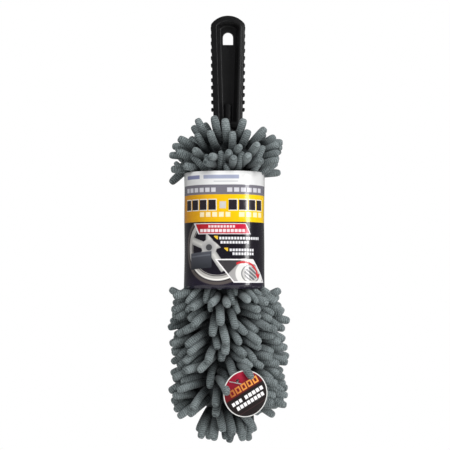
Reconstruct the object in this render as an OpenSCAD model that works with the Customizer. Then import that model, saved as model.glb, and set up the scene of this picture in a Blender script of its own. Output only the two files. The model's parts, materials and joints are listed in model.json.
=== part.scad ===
// Wheel brush with a moulded handle, a bendable wire core in a foam slab,
// a two-panel chenille sleeve, a card band round the head and a round card tag.
// Millimetres. +Z runs up the brush to its hanging end and the front faces -Y.
// The origin is the centre of the hanging slot, in the middle of the handle's web.

/* [Handle] */
// Width across the shoulders, without the ribs
handle_w = 33.4; // [28:0.1:41]
// Width at the lower end of the grip
handle_low_w = 28; // [22:0.1:34]
// Thickness from the front rim to the back rim
handle_t = 20; // [16:0.5:28]
// Radius of the crown at the hanging end
crown_r = 20.6; // [20.6:0.1:30]
// Material between the top of the slot and the top of the crown
crown_above_slot = 15; // [10:0.5:20]
// Distance from the slot's centre up to the shoulders
shoulder_z = 10; // [6:0.5:12]
// Distance from the slot's centre down to the end of the grip
grip_len = 90; // [72:1:110]
// Width of the flat rim round each channel
rim_w = 5.6; // [4:0.1:6]
// Width that each channel's sloping wall takes up
channel_slope = 3.4; // [2:0.1:4]
// Thickness of the web between the two channels
web_t = 4; // [2.5:0.1:6]
// Rounding of the rim's outer edges
edge_r = 2.4; // [1:0.1:3]
// Width of the hanging slot
slot_w = 9.9; // [7:0.1:12.4]
// Height of the hanging slot, from its flat sill to the top of its arch
slot_h = 12.8; // [12.4:0.1:16]
// Number of grip ribs on each side
rib_count = 12; // [6:1:12]
// Distance from one rib to the next
rib_pitch = 7.28; // [6:0.01:7.6]
// Diameter of a rib
rib_d = 2.4; // [1.6:0.1:3]
// Length of a rib's straight part, across the handle
rib_len = 10; // [6:0.5:11]
// How far the top rib stands out
rib_proud_top = 0.3; // [0.2:0.1:1]
// How far the bottom rib stands out
rib_proud_low = 1.9; // [1:0.1:2.2]

/* [Neck and core] */
// Diameter of the round neck below the grip
neck_d = 16; // [14:0.5:20]
// Length of the neck below the grip
neck_len = 12; // [11:0.5:20]
// Diameter of the boss that holds the wire, seen in each channel
boss_d = 9; // [8.5:0.1:12]
// Height of the boss above the end of the grip
boss_rise = 26.5; // [16:0.1:32]
// Diameter of the core wire
wire_d = 5; // [3.5:0.1:6]
// Depth of the wire's socket above the neck's end
socket_depth = 26; // [22:0.5:28]
// Diameter of the cross pin that locks the wire
pin_d = 2.5; // [1.5:0.1:3]
// Clearance between the wire or pin and its hole
wire_fit = 0.05; // [0.02:0.01:0.1]
// Wall of the cap on the wire's tip
cap_wall = 1.6; // [1:0.1:2.5]
// How much of the wire the cap covers
cap_grip = 8; // [5:0.5:12]
// Distance from the cap's tip to the end of the foam
tip_cover = 9; // [5:0.5:20]

/* [Foam and sleeve] */
// Width of the foam slab
foam_w = 55; // [46:0.5:66]
// Thickness of the foam slab
foam_t = 27; // [22:0.5:33]
// Length of the head from the sleeve's top to its bottom seam
head_len = 261; // [245:1:315]
// Radius of the foam's two lower corners
foam_corner_r = 22; // [12:0.5:22]
// Thickness of the sleeve's backing cloth
backing_t = 1.3; // [0.8:0.1:2]
// Thickness of the gathered hem round the neck
hem_t = 1.4; // [0.8:0.1:2]
// Length of the hem along the neck
hem_len = 9; // [6:0.5:12]
// Thickness of the elastic cord round the hem
elastic_d = 2.2; // [1.2:0.1:3]
// Clearance between layers that only touch
layer_gap = 0.1; // [0.05:0.01:0.2]

/* [Noodles] */
// Reach of the noodles from the cloth, on the open part of the head
pile_reach = 29; // [24:0.5:35]
// Reach of the noodles to the sides, in the tuft above the band
tuft_reach = 23; // [18:0.5:28]
// Reach of the noodles below the bottom seam
end_reach = 28; // [20:0.5:34]
// Height of the tuft's tips above the end of the neck
tuft_rise = 23.5; // [16:0.5:26]
// Radius of the pile's rounded corners
pile_corner_r = 40; // [25:0.5:40]

/* [Card band] */
// Outside width of the band
band_w = 78; // [70:0.5:92]
// Outside thickness of the band, front to back
band_t = 62; // [52:0.5:74]
// Height of the band
band_h = 111.5; // [92:0.5:118]
// Distance from the sleeve's top to the band's top edge
band_drop = 31; // [28:0.5:44]
// Sideways place of the band on the head
band_x = -3.6; // [-4:0.1:4]
// Thickness of the card
card_t = 0.5; // [0.3:0.05:0.8]
// Width of the glued overlap at the back
lap_w = 16; // [10:0.5:20]

/* [Tag] */
// Diameter of the round tag
tag_d = 43.4; // [38:0.5:48]
// Thickness of the tag
tag_t = 0.7; // [0.4:0.05:1.2]
// Sideways place of the tag's centre
tag_x = 16.2; // [12:0.1:20]
// Distance from the tag's centre to the bottom seam
tag_above_seam = 21.2; // [16:0.1:26]
// How far the tag's centre lies in front of the middle of the head
tag_front = 37; // [34:0.1:46]
// Turn of the tag towards the right, in degrees
tag_turn = 18; // [10:1:28]
// Distance from the tag's centre to its fastener hole
tag_hole_r = 14.5; // [11:0.1:17]
// Direction of the fastener hole from the tag's centre, in degrees from the right
tag_hole_at = 123; // [100:1:140]
// Diameter of the fastener hole
tag_hole_d = 2.8; // [2:0.1:4]
// Diameter of the fastener's T-bar
tee_d = 1.1; // [0.8:0.1:1.4]
// Length of the fastener's T-bar
tee_len = 11.5; // [8:0.5:14]
// Diameter of the fastener's filament
filament_d = 0.7; // [0.4:0.05:0.9]

/* [Bending] */
// Greatest bend at the neck each way, in degrees
neck_bend = 20; // [10:1:20]
// Greatest bend at each zone below the band each way, in degrees
head_bend = 25; // [15:1:27]
// Distance from the sleeve's top to the neck's bend
neck_zone = 13; // [11:0.5:15]
// Distance from the band's lower edge to the first bend below it
band_zone = 16.5; // [16:0.5:21]
// Distance between the bends below the band
bend_pitch = 26; // [25:0.5:27]

/* [Hidden] */
$fn = 64;

FAR = 400;               // past every part of the brush
SKIN = 0.01;             // lets a cut run through a face
BEND_GAP = 0.4;          // half the gap between two bend zones at the wire
FRONT = -1;
BACK = 1;

crown_z = slot_h / 2 + crown_above_slot;
grip_z = -grip_len;
neck_z = grip_z - neck_len;
head_top = neck_z - layer_gap;
head_bottom = head_top - head_len;
foam_top = head_top - backing_t - layer_gap;
foam_bottom = head_bottom + backing_t;
boss_top = grip_z + boss_rise;
socket_top = neck_z + socket_depth;
pin_z = neck_z + neck_len * 0.45;
corner_r = 4;

// Half widths and half thicknesses of the nested stadiums.
foam_hw = foam_w / 2;
foam_ht = foam_t / 2;
cloth_hw = foam_hw + backing_t;
cloth_ht = foam_ht + backing_t;
pile_hw = cloth_hw + pile_reach;
pile_ht = cloth_ht + pile_reach;
tuft_hw = cloth_hw + tuft_reach;
tuft_ht = cloth_ht + tuft_reach;
band_hw = band_w / 2;
band_ht = band_t / 2;
squeezed_hw = band_hw - card_t - layer_gap;
squeezed_ht = band_ht - card_t - layer_gap;

band_top = head_top - band_drop;
band_bottom = band_top - band_h;
tuft_top = neck_z + tuft_rise;
pile_bottom = head_bottom - end_reach;

// The four bends, from the neck down, and the half angle that each side gives way.
bends = [head_top - neck_zone,
         for (i = [0 : 2]) band_bottom - band_zone - i * bend_pitch];
half_angles = [neck_bend / 2, for (i = [0 : 2]) head_bend / 2];
angle_spare = 0.3;

cap_r = wire_d / 2 + wire_fit + cap_wall;
cap_tip = foam_bottom + tip_cover;
wire_end = cap_tip + cap_wall + 1;

elastic_out_r = neck_d / 2 + 2 * layer_gap + hem_t + elastic_d;

tag_z = head_bottom + tag_above_seam;

// The tag's hole lies this far in front of the head's middle, and its filament runs this far,
// square to the tag, to the paddle that rests inside the cloth.
tag_hole_front = tag_front - tag_hole_r * cos(tag_hole_at) * sin(tag_turn);
paddle_d = 4;
paddle_t = 1;
paddle_in = (tag_hole_front - foam_ht) / cos(tag_turn)
    + paddle_d / 2 * tan(tag_turn) + 4 * layer_gap;

// Upright plates: a 2D outline in X and Z, thick along Y from y_low to y_high.
module upright(y_low, y_high) {
    translate([0, y_high, 0]) rotate([90, 0, 0])
        linear_extrude(y_high - y_low) children();
}

// A stadium in X and Y: half width hw, half thickness ht.
module stadium(hw, ht) {
    square([2 * (hw - ht), 2 * ht], center = true);
    for (side = [-1, 1]) translate([side * (hw - ht), 0]) circle(r = ht);
}

// A stadium post from z_low up to z_high.
module post(hw, ht, z_low, z_high) {
    translate([0, 0, z_low]) linear_extrude(z_high - z_low) stadium(hw, ht);
}

// A rectangle in X and Z with rounded lower and upper corners.
module rounded_front(hw, z_low, z_high, low_r, high_r) {
    difference() {
        translate([-hw, z_low]) square([2 * hw, z_high - z_low]);
        for (side = [-1, 1]) {
            corner_cut(side, hw, z_low, 1, low_r);
            corner_cut(side, hw, z_high, -1, high_r);
        }
    }
}

// What rounding takes off one corner: a square less a circle.
module corner_cut(side, hw, z, up, r) {
    if (r > 0) difference() {
        translate([side * (hw - r / 2 + SKIN), z + up * (r / 2 - SKIN)])
            square(r + 2 * SKIN, center = true);
        translate([side * (hw - r), z + up * r]) circle(r = r);
    }
}

// The space of one piece of the head, between the V planes of the bends above and below.
module bend_zone(i) {
    above = i > 0;
    below = i < len(bends);
    z_high = above ? bends[i - 1] - BEND_GAP : FAR;
    z_low = below ? bends[i] + BEND_GAP : -2 * FAR;
    rise_high = above ? tan(half_angles[i - 1] + angle_spare) : 0;
    rise_low = below ? tan(half_angles[i] + angle_spare) : 0;
    meet = rise_high + rise_low > 0 ? (z_high - z_low) / (rise_high + rise_low) : FAR;
    y = min(FAR, meet * 0.98);
    rotate([90, 0, 90]) linear_extrude(2 * FAR, center = true) polygon([
        [0, z_high], [y, z_high - y * rise_high], [y, z_low + y * rise_low],
        [0, z_low], [-y, z_low + y * rise_low], [-y, z_high - y * rise_high]
    ]);
}

// Everything in front of (FRONT) or behind (BACK) the side seams.
module half_space(side) {
    translate([-FAR, side == FRONT ? -FAR - layer_gap / 2 : layer_gap / 2, -2 * FAR])
        cube([2 * FAR, FAR, 4 * FAR]);
}

// ---- Handle ----

// Half the handle's width at a height on the grip.
function grip_hw(z) = (handle_low_w + (handle_w - handle_low_w)
    * (z - grip_z) / (shoulder_z - grip_z)) / 2;

function arc(x, z, r, from, to, steps) = [for (i = [0 : steps])
    let (a = from + (to - from) * i / steps) [x + r * cos(a), z + r * sin(a)]];

// The right half of the grip's outline, inset by a distance, its corners rounded to a radius: the
// lower corner, the shoulder, whose circle touches the side and the crown's arc, and the crown.
function half_outline(inset, corner) = let (
    crown_centre = crown_z - crown_r,
    x = handle_w / 2 - inset - corner,
    z = crown_centre + sqrt(pow(crown_r - inset - corner, 2) - x * x),
    meet = atan2(z - crown_centre, x)
) concat(
    arc(handle_low_w / 2 - inset - corner, grip_z + inset + corner, corner, -90, 0, 6),
    arc(x, z, corner, 0, meet, 5),
    arc(0, crown_centre, crown_r - inset, meet + 4, 90, 9)
);

module handle_outline(inset, corner) {
    half = half_outline(inset, corner);
    last = len(half) - 1;
    polygon(concat(half, [for (i = [1 : last]) [-half[last - i].x, half[last - i].y]]));
}

// The grip with rounded outer edges.
module grip_body() {
    steps = 3;
    hull() for (i = [0 : steps]) {
        turn = 90 * i / steps;
        inset = edge_r * (1 - sin(turn));
        y = handle_t / 2 - edge_r * (1 - cos(turn));
        upright(-y, y) handle_outline(inset, corner_r - inset);
    }
}

// One channel, its walls sloping in to the web.
module channel(side) {
    rotate([0, 0, side == FRONT ? 0 : 180]) hull() {
        upright(-handle_t / 2 - 1, -handle_t / 2) handle_outline(rim_w, 3);
        upright(-handle_t / 2 - 1, -web_t / 2)
            handle_outline(rim_w + channel_slope, 1.2);
    }
}

// The hanging slot: a flat sill and a round arch.
module hang_slot() {
    upright(-handle_t, handle_t) {
        translate([-slot_w / 2, -slot_h / 2]) square([slot_w, slot_h - slot_w / 2]);
        translate([0, slot_h / 2 - slot_w / 2]) circle(r = slot_w / 2);
    }
}

// Ribs across both sides, on two straight rows that the grip tapers away from.
module grip_ribs() {
    for (side = [-1, 1], i = [0 : rib_count - 1]) {
        z = shoulder_z - i * rib_pitch;
        proud = rib_proud_top + (rib_proud_low - rib_proud_top) * i / (rib_count - 1);
        x = side * (grip_hw(z) + proud - rib_d / 2);
        translate([x, 0, z]) {
            rotate([90, 0, 0]) cylinder(h = rib_len, d = rib_d, center = true);
            for (end = [-1, 1]) translate([0, end * rib_len / 2, 0]) sphere(d = rib_d);
        }
    }
}

module handle() {
    color([0.09, 0.09, 0.09]) difference() {
        union() {
            difference() {
                grip_body();
                for (side = [-1, 1]) channel(side);
                hang_slot();
            }
            translate([0, 0, grip_z]) cylinder(h = boss_rise - boss_d / 2, d = boss_d);
            translate([0, 0, boss_top - boss_d / 2]) sphere(d = boss_d);
            translate([0, 0, neck_z]) cylinder(h = neck_len + rim_w, d = neck_d);
            grip_ribs();
        }
        translate([0, 0, neck_z - 1])
            cylinder(h = socket_depth + 1, d = wire_d + 2 * wire_fit);
        translate([0, 0, pin_z]) rotate([90, 0, 0])
            cylinder(h = 2 * neck_d, d = pin_d + 2 * wire_fit, center = true);
    }
}

// The steel pin through the neck and the wire.
module socket_pin() {
    color([0.7, 0.71, 0.73]) translate([0, 0, pin_z]) rotate([90, 0, 0])
        cylinder(h = neck_d - 0.6, d = pin_d, center = true);
}

// ---- Sleeve's mouth ----

// The hem gathered round the neck, and the cloth that closes the head's top.
module sleeve_hem() {
    inner = neck_d / 2 + layer_gap;
    color([0.42, 0.46, 0.47]) difference() {
        union() {
            post(cloth_hw, cloth_ht, head_top - backing_t, head_top);
            translate([0, 0, head_top - SKIN])
                cylinder(h = hem_len + SKIN, r = inner + hem_t);
        }
        translate([0, 0, head_top]) cylinder(h = hem_len + 1, r = inner);
        translate([0, 0, head_top - backing_t - 1])
            cylinder(h = backing_t + 2, d = wire_d + 2 * layer_gap);
    }
}

module hem_elastic() {
    ring = neck_d / 2 + 2 * layer_gap + hem_t + elastic_d / 2;
    color([0.12, 0.12, 0.13]) translate([0, 0, head_top + hem_len * 0.55])
        rotate_extrude() translate([ring, 0]) circle(d = elastic_d);
}

// ---- Core ----

// The wire between two bends. Each lower length starts in a round head that turns in the
// hollow end of the length above it.
module core_wire(i) {
    z_high = i == 0 ? socket_top - 1 : bends[i - 1];
    z_low = i == len(bends) ? wire_end : bends[i];
    color([0.72, 0.73, 0.75]) difference() {
        union() {
            translate([0, 0, z_low]) cylinder(h = z_high - z_low, d = wire_d);
            if (i > 0) intersection() {
                translate([0, 0, z_high - 1]) cylinder(h = wire_d + 1, d = wire_d);
                translate([0, 0, z_high]) rotate([0, 90, 0])
                    cylinder(h = 2 * wire_d, d = wire_d, center = true);
            }
        }
        if (i < len(bends)) {
            translate([0, 0, z_low]) rotate([0, 90, 0])
                cylinder(h = 2 * wire_d, d = wire_d + 6 * wire_fit, center = true);
            translate([-wire_d, -wire_d, z_low - 1])
                cube([2 * wire_d, 2 * wire_d, 1 + wire_d * 0.28]);
        }
        if (i == 0) translate([0, 0, pin_z]) rotate([90, 0, 0])
            cylinder(h = 2 * wire_d, d = pin_d + 2 * wire_fit, center = true);
    }
}

// The plastic cap that keeps the wire's tip off the foam.
module wire_tip_cap() {
    color([0.85, 0.85, 0.82]) difference() {
        union() {
            translate([0, 0, cap_tip + cap_r])
                cylinder(h = wire_end + cap_grip - cap_tip - cap_r, r = cap_r);
            translate([0, 0, cap_tip + cap_r]) sphere(r = cap_r);
        }
        translate([0, 0, wire_end - wire_fit])
            cylinder(h = cap_grip + 1, d = wire_d + 2 * wire_fit);
    }
}

// The whole foam slab, before the bends part it.
module whole_foam() {
    difference() {
        intersection() {
            post(foam_hw, foam_ht, foam_bottom, foam_top);
            upright(-FAR, FAR)
                rounded_front(foam_hw, foam_bottom, foam_top, foam_corner_r, 0);
        }
        translate([0, 0, foam_bottom + tip_cover + cap_r])
            cylinder(h = FAR, d = wire_d + 2 * layer_gap);
        translate([0, 0, cap_tip + cap_r])
            cylinder(h = wire_end + cap_grip - cap_tip - cap_r + layer_gap,
                     r = cap_r + layer_gap);
        translate([0, 0, cap_tip + cap_r]) sphere(r = cap_r + layer_gap);
        // Room for the wire's round heads to turn.
        for (z = bends) translate([0, 0, z]) sphere(d = wire_d * 1.5);
        in_tag_plane() anchor_pocket();
    }
}

module foam_slab(i) {
    color([0.86, 0.84, 0.76]) intersection() {
        whole_foam();
        bend_zone(i);
    }
}

// ---- Sleeve ----

// The outer shape of the sewn sleeve, grown by a reach.
module sleeve_form(hw, ht, corner) {
    intersection() {
        post(hw, ht, head_bottom, head_top - backing_t - layer_gap);
        upright(-FAR, FAR)
            rounded_front(hw, head_bottom, head_top, corner, 0);
    }
}

// One cloth panel, front or back, between two bends.
module backing(i, side) {
    color([0.40, 0.44, 0.45]) intersection() {
        difference() {
            sleeve_form(cloth_hw, cloth_ht, foam_corner_r + backing_t);
            intersection() {
                post(foam_hw + layer_gap, foam_ht + layer_gap,
                     foam_bottom - layer_gap, head_top + 1);
                upright(-FAR, FAR) rounded_front(
                    foam_hw + layer_gap, foam_bottom - layer_gap, head_top + 1,
                    foam_corner_r + layer_gap, 0);
            }
            in_tag_plane() filament_way();
        }
        bend_zone(i);
        half_space(side);
    }
}

// ---- Noodles ----

// The free space that the noodles leave for the sleeve, the neck and the grip.
module inside_pile() {
    post(cloth_hw + layer_gap, cloth_ht + layer_gap,
         head_bottom - layer_gap, head_top + 1);
    hw = max(handle_low_w / 2 + rib_proud_low, elastic_out_r) + 1;
    ht = max(handle_t / 2, elastic_out_r) + 1;
    translate([-hw, -ht, neck_z]) cube([2 * hw, 2 * ht, neck_len + FAR]);
}

// Noodles standing free above the band: they fan out into a rounded tuft.
module tuft_form() {
    intersection() {
        post(tuft_hw, tuft_ht, band_top + layer_gap, tuft_top);
        upright(-FAR, FAR)
            rounded_front(tuft_hw, band_bottom, tuft_top, 0, pile_corner_r - 6);
    }
}

// Noodles pressed flat inside the band.
module squeezed_form() {
    translate([band_x, 0, 0])
        post(squeezed_hw, squeezed_ht, band_bottom, band_top);
}

// Noodles standing free below the band, down to the rounded end of the head.
module open_form() {
    intersection() {
        post(pile_hw, pile_ht, pile_bottom, band_bottom - layer_gap);
        upright(-FAR, FAR) rounded_front(
            pile_hw, pile_bottom, band_top, pile_corner_r, 0);
    }
}

// Piece 0 is the tuft on the neck, 1 to 3 belong to the banded section, and 4 to 6 follow the
// lower bends.
module noodles(piece, side) {
    zone = piece == 0 ? 0 : piece < 4 ? 1 : piece - 2;
    color([0.43, 0.48, 0.49]) difference() {
        intersection() {
            if (piece < 2) tuft_form();
            else if (piece == 2) squeezed_form();
            else open_form();
            bend_zone(zone);
            half_space(side);
        }
        if (piece == len(bends) + 2) pile_core();
        else inside_pile();
        in_tag_plane() tag_pocket();
        if (piece == len(bends) + 1) bent_forward() in_tag_plane() tag_hollow(5 * layer_gap);
    }
}

// Puts children where the lowest bend carries them when it is bent fully to the front: the tag's
// top edge reaches past that bend, so the noodles above it leave room.
module bent_forward() {
    hinge_z = bends[len(bends) - 1];
    translate([0, 0, hinge_z]) rotate([-head_bend, 0, 0])
        translate([0, 0, -hinge_z]) children();
}

// The sleeve's rounded lower end, which the last noodles grow round.
module pile_core() {
    gap = layer_gap;
    intersection() {
        post(cloth_hw + gap, cloth_ht + gap, head_bottom - gap, head_top + 1);
        upright(-FAR, FAR) rounded_front(
            cloth_hw + gap, head_bottom - gap, head_top + 1,
            foam_corner_r + backing_t + gap, 0);
    }
}

// ---- Card band ----

// A card tube whose ends lap and are glued behind.
module card_band() {
    color([0.93, 0.78, 0.18]) translate([band_x, 0, 0]) {
        difference() {
            post(band_hw, band_ht, band_bottom, band_top);
            post(band_hw - card_t, band_ht - card_t, band_bottom - 1, band_top + 1);
        }
        intersection() {
            difference() {
                post(band_hw + card_t, band_ht + card_t, band_bottom, band_top);
                post(band_hw - card_t / 2, band_ht - card_t / 2,
                     band_bottom - 1, band_top + 1);
            }
            translate([0, 0, band_bottom]) cube([lap_w, FAR, band_h]);
        }
    }
}

// ---- Tag ----

// Puts children in the tag's own frame: origin at its centre, +Z out of its face.
module in_tag_plane() {
    translate([tag_x, -tag_front, tag_z]) rotate([0, 0, tag_turn]) rotate([90, 0, 0])
        children();
}

// Moves children from the tag's centre to its fastener hole.
module at_tag_hole() {
    rotate([0, 0, tag_hole_at]) translate([tag_hole_r, 0, 0]) children();
}

module filament_way() {
    at_tag_hole() translate([0, 0, -paddle_in])
        cylinder(h = paddle_in + tag_t, d = filament_d + 4 * layer_gap);
}

// Room for the paddle in the foam, open to the cloth.
module anchor_pocket() {
    at_tag_hole() translate([0, 0, -paddle_in - paddle_t - 2 * layer_gap])
        cylinder(h = paddle_in, d = 2 * paddle_d);
}

// The hollow that the tag lies in, open to the front, with a gap behind the tag.
module tag_hollow(gap) {
    translate([0, 0, -tag_t / 2 - gap])
        cylinder(h = FAR, d = tag_d + 2);
}

module tag_pocket() {
    tag_hollow(layer_gap);
    filament_way();
}

module round_tag() {
    color([0.62, 0.13, 0.15]) in_tag_plane() difference() {
        cylinder(h = tag_t, d = tag_d, center = true);
        at_tag_hole() cylinder(h = 3 * tag_t, d = tag_hole_d, center = true);
    }
}

// A nylon fastener: T-bar on the tag's face, filament, and paddle inside the sleeve.
module tag_fastener() {
    tee_z = tag_t / 2 + layer_gap + tee_d / 2;
    color([0.92, 0.92, 0.92]) in_tag_plane() at_tag_hole() {
        translate([0, 0, tee_z]) rotate([0, 0, -tag_hole_at]) rotate([0, 90, 0])
            cylinder(h = tee_len, d = tee_d, center = true);
        translate([0, 0, -paddle_in - paddle_t])
            cylinder(h = paddle_in + paddle_t + tee_z, d = filament_d);
        translate([0, 0, -paddle_in - paddle_t]) cylinder(h = paddle_t, d = paddle_d);
    }
}

// ---- Nodes ----

handle();
socket_pin();
sleeve_hem();
hem_elastic();
wire_tip_cap();
card_band();
round_tag();
tag_fastener();
for (i = [0 : 4]) {
    core_wire(i);
    foam_slab(i);
    backing(i, FRONT);
    backing(i, BACK);
}
for (i = [0 : 6]) {
    noodles(i, FRONT);
    noodles(i, BACK);
}
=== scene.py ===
import json
import math
import bpy
import numpy as np
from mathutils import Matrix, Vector


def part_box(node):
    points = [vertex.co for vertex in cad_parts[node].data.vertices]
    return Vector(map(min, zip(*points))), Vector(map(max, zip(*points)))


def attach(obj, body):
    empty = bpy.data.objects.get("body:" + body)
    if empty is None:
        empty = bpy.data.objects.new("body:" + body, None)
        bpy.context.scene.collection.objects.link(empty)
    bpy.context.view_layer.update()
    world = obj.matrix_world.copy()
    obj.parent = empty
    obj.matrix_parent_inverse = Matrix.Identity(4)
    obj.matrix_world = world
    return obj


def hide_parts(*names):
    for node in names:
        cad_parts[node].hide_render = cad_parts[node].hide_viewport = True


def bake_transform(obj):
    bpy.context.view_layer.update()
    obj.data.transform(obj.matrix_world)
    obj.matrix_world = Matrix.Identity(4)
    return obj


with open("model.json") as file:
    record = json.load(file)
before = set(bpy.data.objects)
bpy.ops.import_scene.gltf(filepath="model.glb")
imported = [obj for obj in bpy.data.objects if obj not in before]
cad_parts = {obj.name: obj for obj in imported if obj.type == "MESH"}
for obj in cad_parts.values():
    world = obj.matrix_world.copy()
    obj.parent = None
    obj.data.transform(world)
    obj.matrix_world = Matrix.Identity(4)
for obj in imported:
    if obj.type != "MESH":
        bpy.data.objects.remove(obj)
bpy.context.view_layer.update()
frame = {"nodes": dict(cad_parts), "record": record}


def nodeBox(*names):
    # lowest and highest corners that hold all the named nodes, as two arrays
    boxes = [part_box(n) for n in names]
    return (np.min([b[0] for b in boxes], axis=0), np.max([b[1] for b in boxes], axis=0))


def addMesh(name, points, faces, material, uv=None, tone=None):
    # points is (n, 3) in metres; uv is (n, 2) per point; tone is one number per point
    mesh = bpy.data.meshes.new(name)
    mesh.from_pydata(np.asarray(points, float).tolist(), [], [list(map(int, f)) for f in faces])
    mesh.polygons.foreach_set("use_smooth", np.ones(len(mesh.polygons), bool))
    if uv is not None:
        corner = np.empty(len(mesh.loops), np.int32)
        mesh.loops.foreach_get("vertex_index", corner)
        layer = mesh.uv_layers.new(name="flat")
        layer.data.foreach_set("uv", np.asarray(uv, float)[corner].ravel())
    if tone is not None:
        mark = mesh.attributes.new("tone", "FLOAT", "POINT")
        mark.data.foreach_set("value", np.asarray(tone, np.float32))
    mesh.update()
    piece = bpy.data.objects.new(name, mesh)
    bpy.context.scene.collection.objects.link(piece)
    mesh.materials.append(material)
    return piece


def gridFaces(rows, cols, wrapCols=False, wrapRows=False):
    # quads of a grid stored row by row: each joins a point, its right neighbour and the two below
    r = np.arange(rows if wrapRows else rows - 1)
    c = np.arange(cols if wrapCols else cols - 1)
    a, b = np.meshgrid(r, c, indexing="ij")
    a2, b2 = (a + 1) % rows, (b + 1) % cols
    quads = np.stack([a * cols + b, a * cols + b2, a2 * cols + b2, a2 * cols + b], -1)
    return quads.reshape(-1, 4)


def poleFaces(first, columns, pole, facesUp):
    # triangles from a loop of points to one pole
    k = np.arange(columns)
    ends = (first + k, first + (k + 1) % columns)
    return np.stack([np.full(columns, pole), *(ends if facesUp else ends[::-1])], -1)


def unit(v):
    return v / np.maximum(np.linalg.norm(v, axis=-1, keepdims=True), 1e-12)


def smoothStep(low, high, x):
    # 0 below low, 1 above high, t*t*(3-2t) between
    t = np.clip((x - low) / (high - low), 0, 1)
    return t * t * (3 - 2 * t)


class Wire:
    # a socket that can be added, multiplied and compared; each step adds one Math node
    def __init__(self, recipe, socket):
        self.recipe, self.socket = recipe, socket

    def math(self, operation, *others, clamp=False):
        made = self.recipe.node("ShaderNodeMath", {"operation": operation, "use_clamp": clamp},
                                dict(enumerate((self,) + others)))
        return Wire(self.recipe, made.outputs[0])

    def __add__(self, o):
        return self.math("ADD", o)

    def __radd__(self, o):
        return self.math("ADD", o)

    def __sub__(self, o):
        return self.math("SUBTRACT", o)

    def __rsub__(self, o):
        return (self * -1).math("ADD", o)

    def __mul__(self, o):
        return self.math("MULTIPLY", o)

    def __truediv__(self, o):
        return self.math("DIVIDE", o)

    def __abs__(self):
        return self.math("ABSOLUTE")

    def __pow__(self, o):
        return self.math("POWER", o)

    def sine(self):
        return self.math("SINE")

    def high(self, o):
        return self.math("MAXIMUM", o)

    def wrap(self, span):
        return self.math("WRAP", span, 0.0)

    def angleOver(self, o):
        return self.math("ARCTAN2", o)

    def limited(self):
        # held between 0 and 1
        return self.math("ADD", 0.0, clamp=True)

    def above(self, edge, soft):
        return ((self - edge) / soft + 0.5).limited()

    def below(self, edge, soft):
        return ((edge - self) / soft + 0.5).limited()


class Recipe:
    # one material, built by a single node method
    def __init__(self, name):
        self.material = bpy.data.materials.new(name)
        self.material.use_nodes = True
        self.tree = self.material.node_tree
        self.tree.nodes.clear()

    def node(self, kind, settings=None, sockets=None):
        made = self.tree.nodes.new(kind)
        for key, value in (settings or {}).items():
            setattr(made, key, value)
        for key, value in (sockets or {}).items():
            target = made.inputs[key]
            if isinstance(value, Wire):
                self.tree.links.new(value.socket, target)
            elif isinstance(value, bpy.types.NodeSocket):
                self.tree.links.new(value, target)
            else:
                target.default_value = value
        return made

    def wire(self, node, output=0):
        return Wire(self, node.outputs[output])

    def place(self):
        return self.node("ShaderNodeTexCoord").outputs["Object"]

    def flat(self):
        # the piece's own UV map as two wires
        split = self.node("ShaderNodeSeparateXYZ", None,
                          {0: self.node("ShaderNodeUVMap", {"uv_map": "flat"}).outputs[0]})
        return self.wire(split, 0), self.wire(split, 1)

    def noise(self, vector, scale, detail=2.0, roughness=0.5):
        return self.wire(self.node("ShaderNodeTexNoise", None, {
            "Vector": vector, "Scale": scale, "Detail": detail, "Roughness": roughness}))

    def colour(self, factor, a, b):
        made = self.node("ShaderNodeMix", {"data_type": "RGBA"}, {0: factor, 6: a, 7: b})
        return made.outputs[2]

    def bump(self, height, strength, distance):
        return self.node("ShaderNodeBump", None, {
            "Height": height, "Strength": strength, "Distance": distance}).outputs[0]

    def finish(self, **sockets):
        # the surface: each keyword is a Principled socket, with _ for a space
        shader = self.node("ShaderNodeBsdfPrincipled", None,
                           {key.replace("_", " "): value for key, value in sockets.items()})
        self.node("ShaderNodeOutputMaterial", None, {"Surface": shader.outputs[0]})
        return self.material


def rgb(r, g, b):
    return (r, g, b, 1.0)


# Camera, light and floor. Places are in metres, in the frame's own directions.
view = {
    "distance": 1.05,
    "lens": 86.6,                 # millimetres, for a sensor 36 mm wide
    "eyeBelowCentre": 0.059,
    "centre": (-0.0029, 0, -0.1828),
    "floorHalf": 1.0,
    "floorBelow": 0.62,           # from the centre down to the floor
    "roomLight": 0.17,            # the light that the room gives; the camera sees it pure white
    # name: direction from the object (right, front, up), distance, size across and up, power
    "lamps": {
        "rightStrip": ((0.80, 0.57, 0.02), 1.3, (0.34, 1.3), 12),
        "topSoft": ((0.20, 0.62, 0.85), 1.5, (0.9, 0.6), 14),
        "leftSoft": ((-0.78, 0.80, 0.22), 1.7, (0.9, 1.3), 10),
        "backSoft": ((0.12, -1.0, 0.22), 1.8, (1.2, 1.2), 24),
    },
    "gleam": "rightStrip",        # the one lamp that shows in smooth surfaces
}


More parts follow.
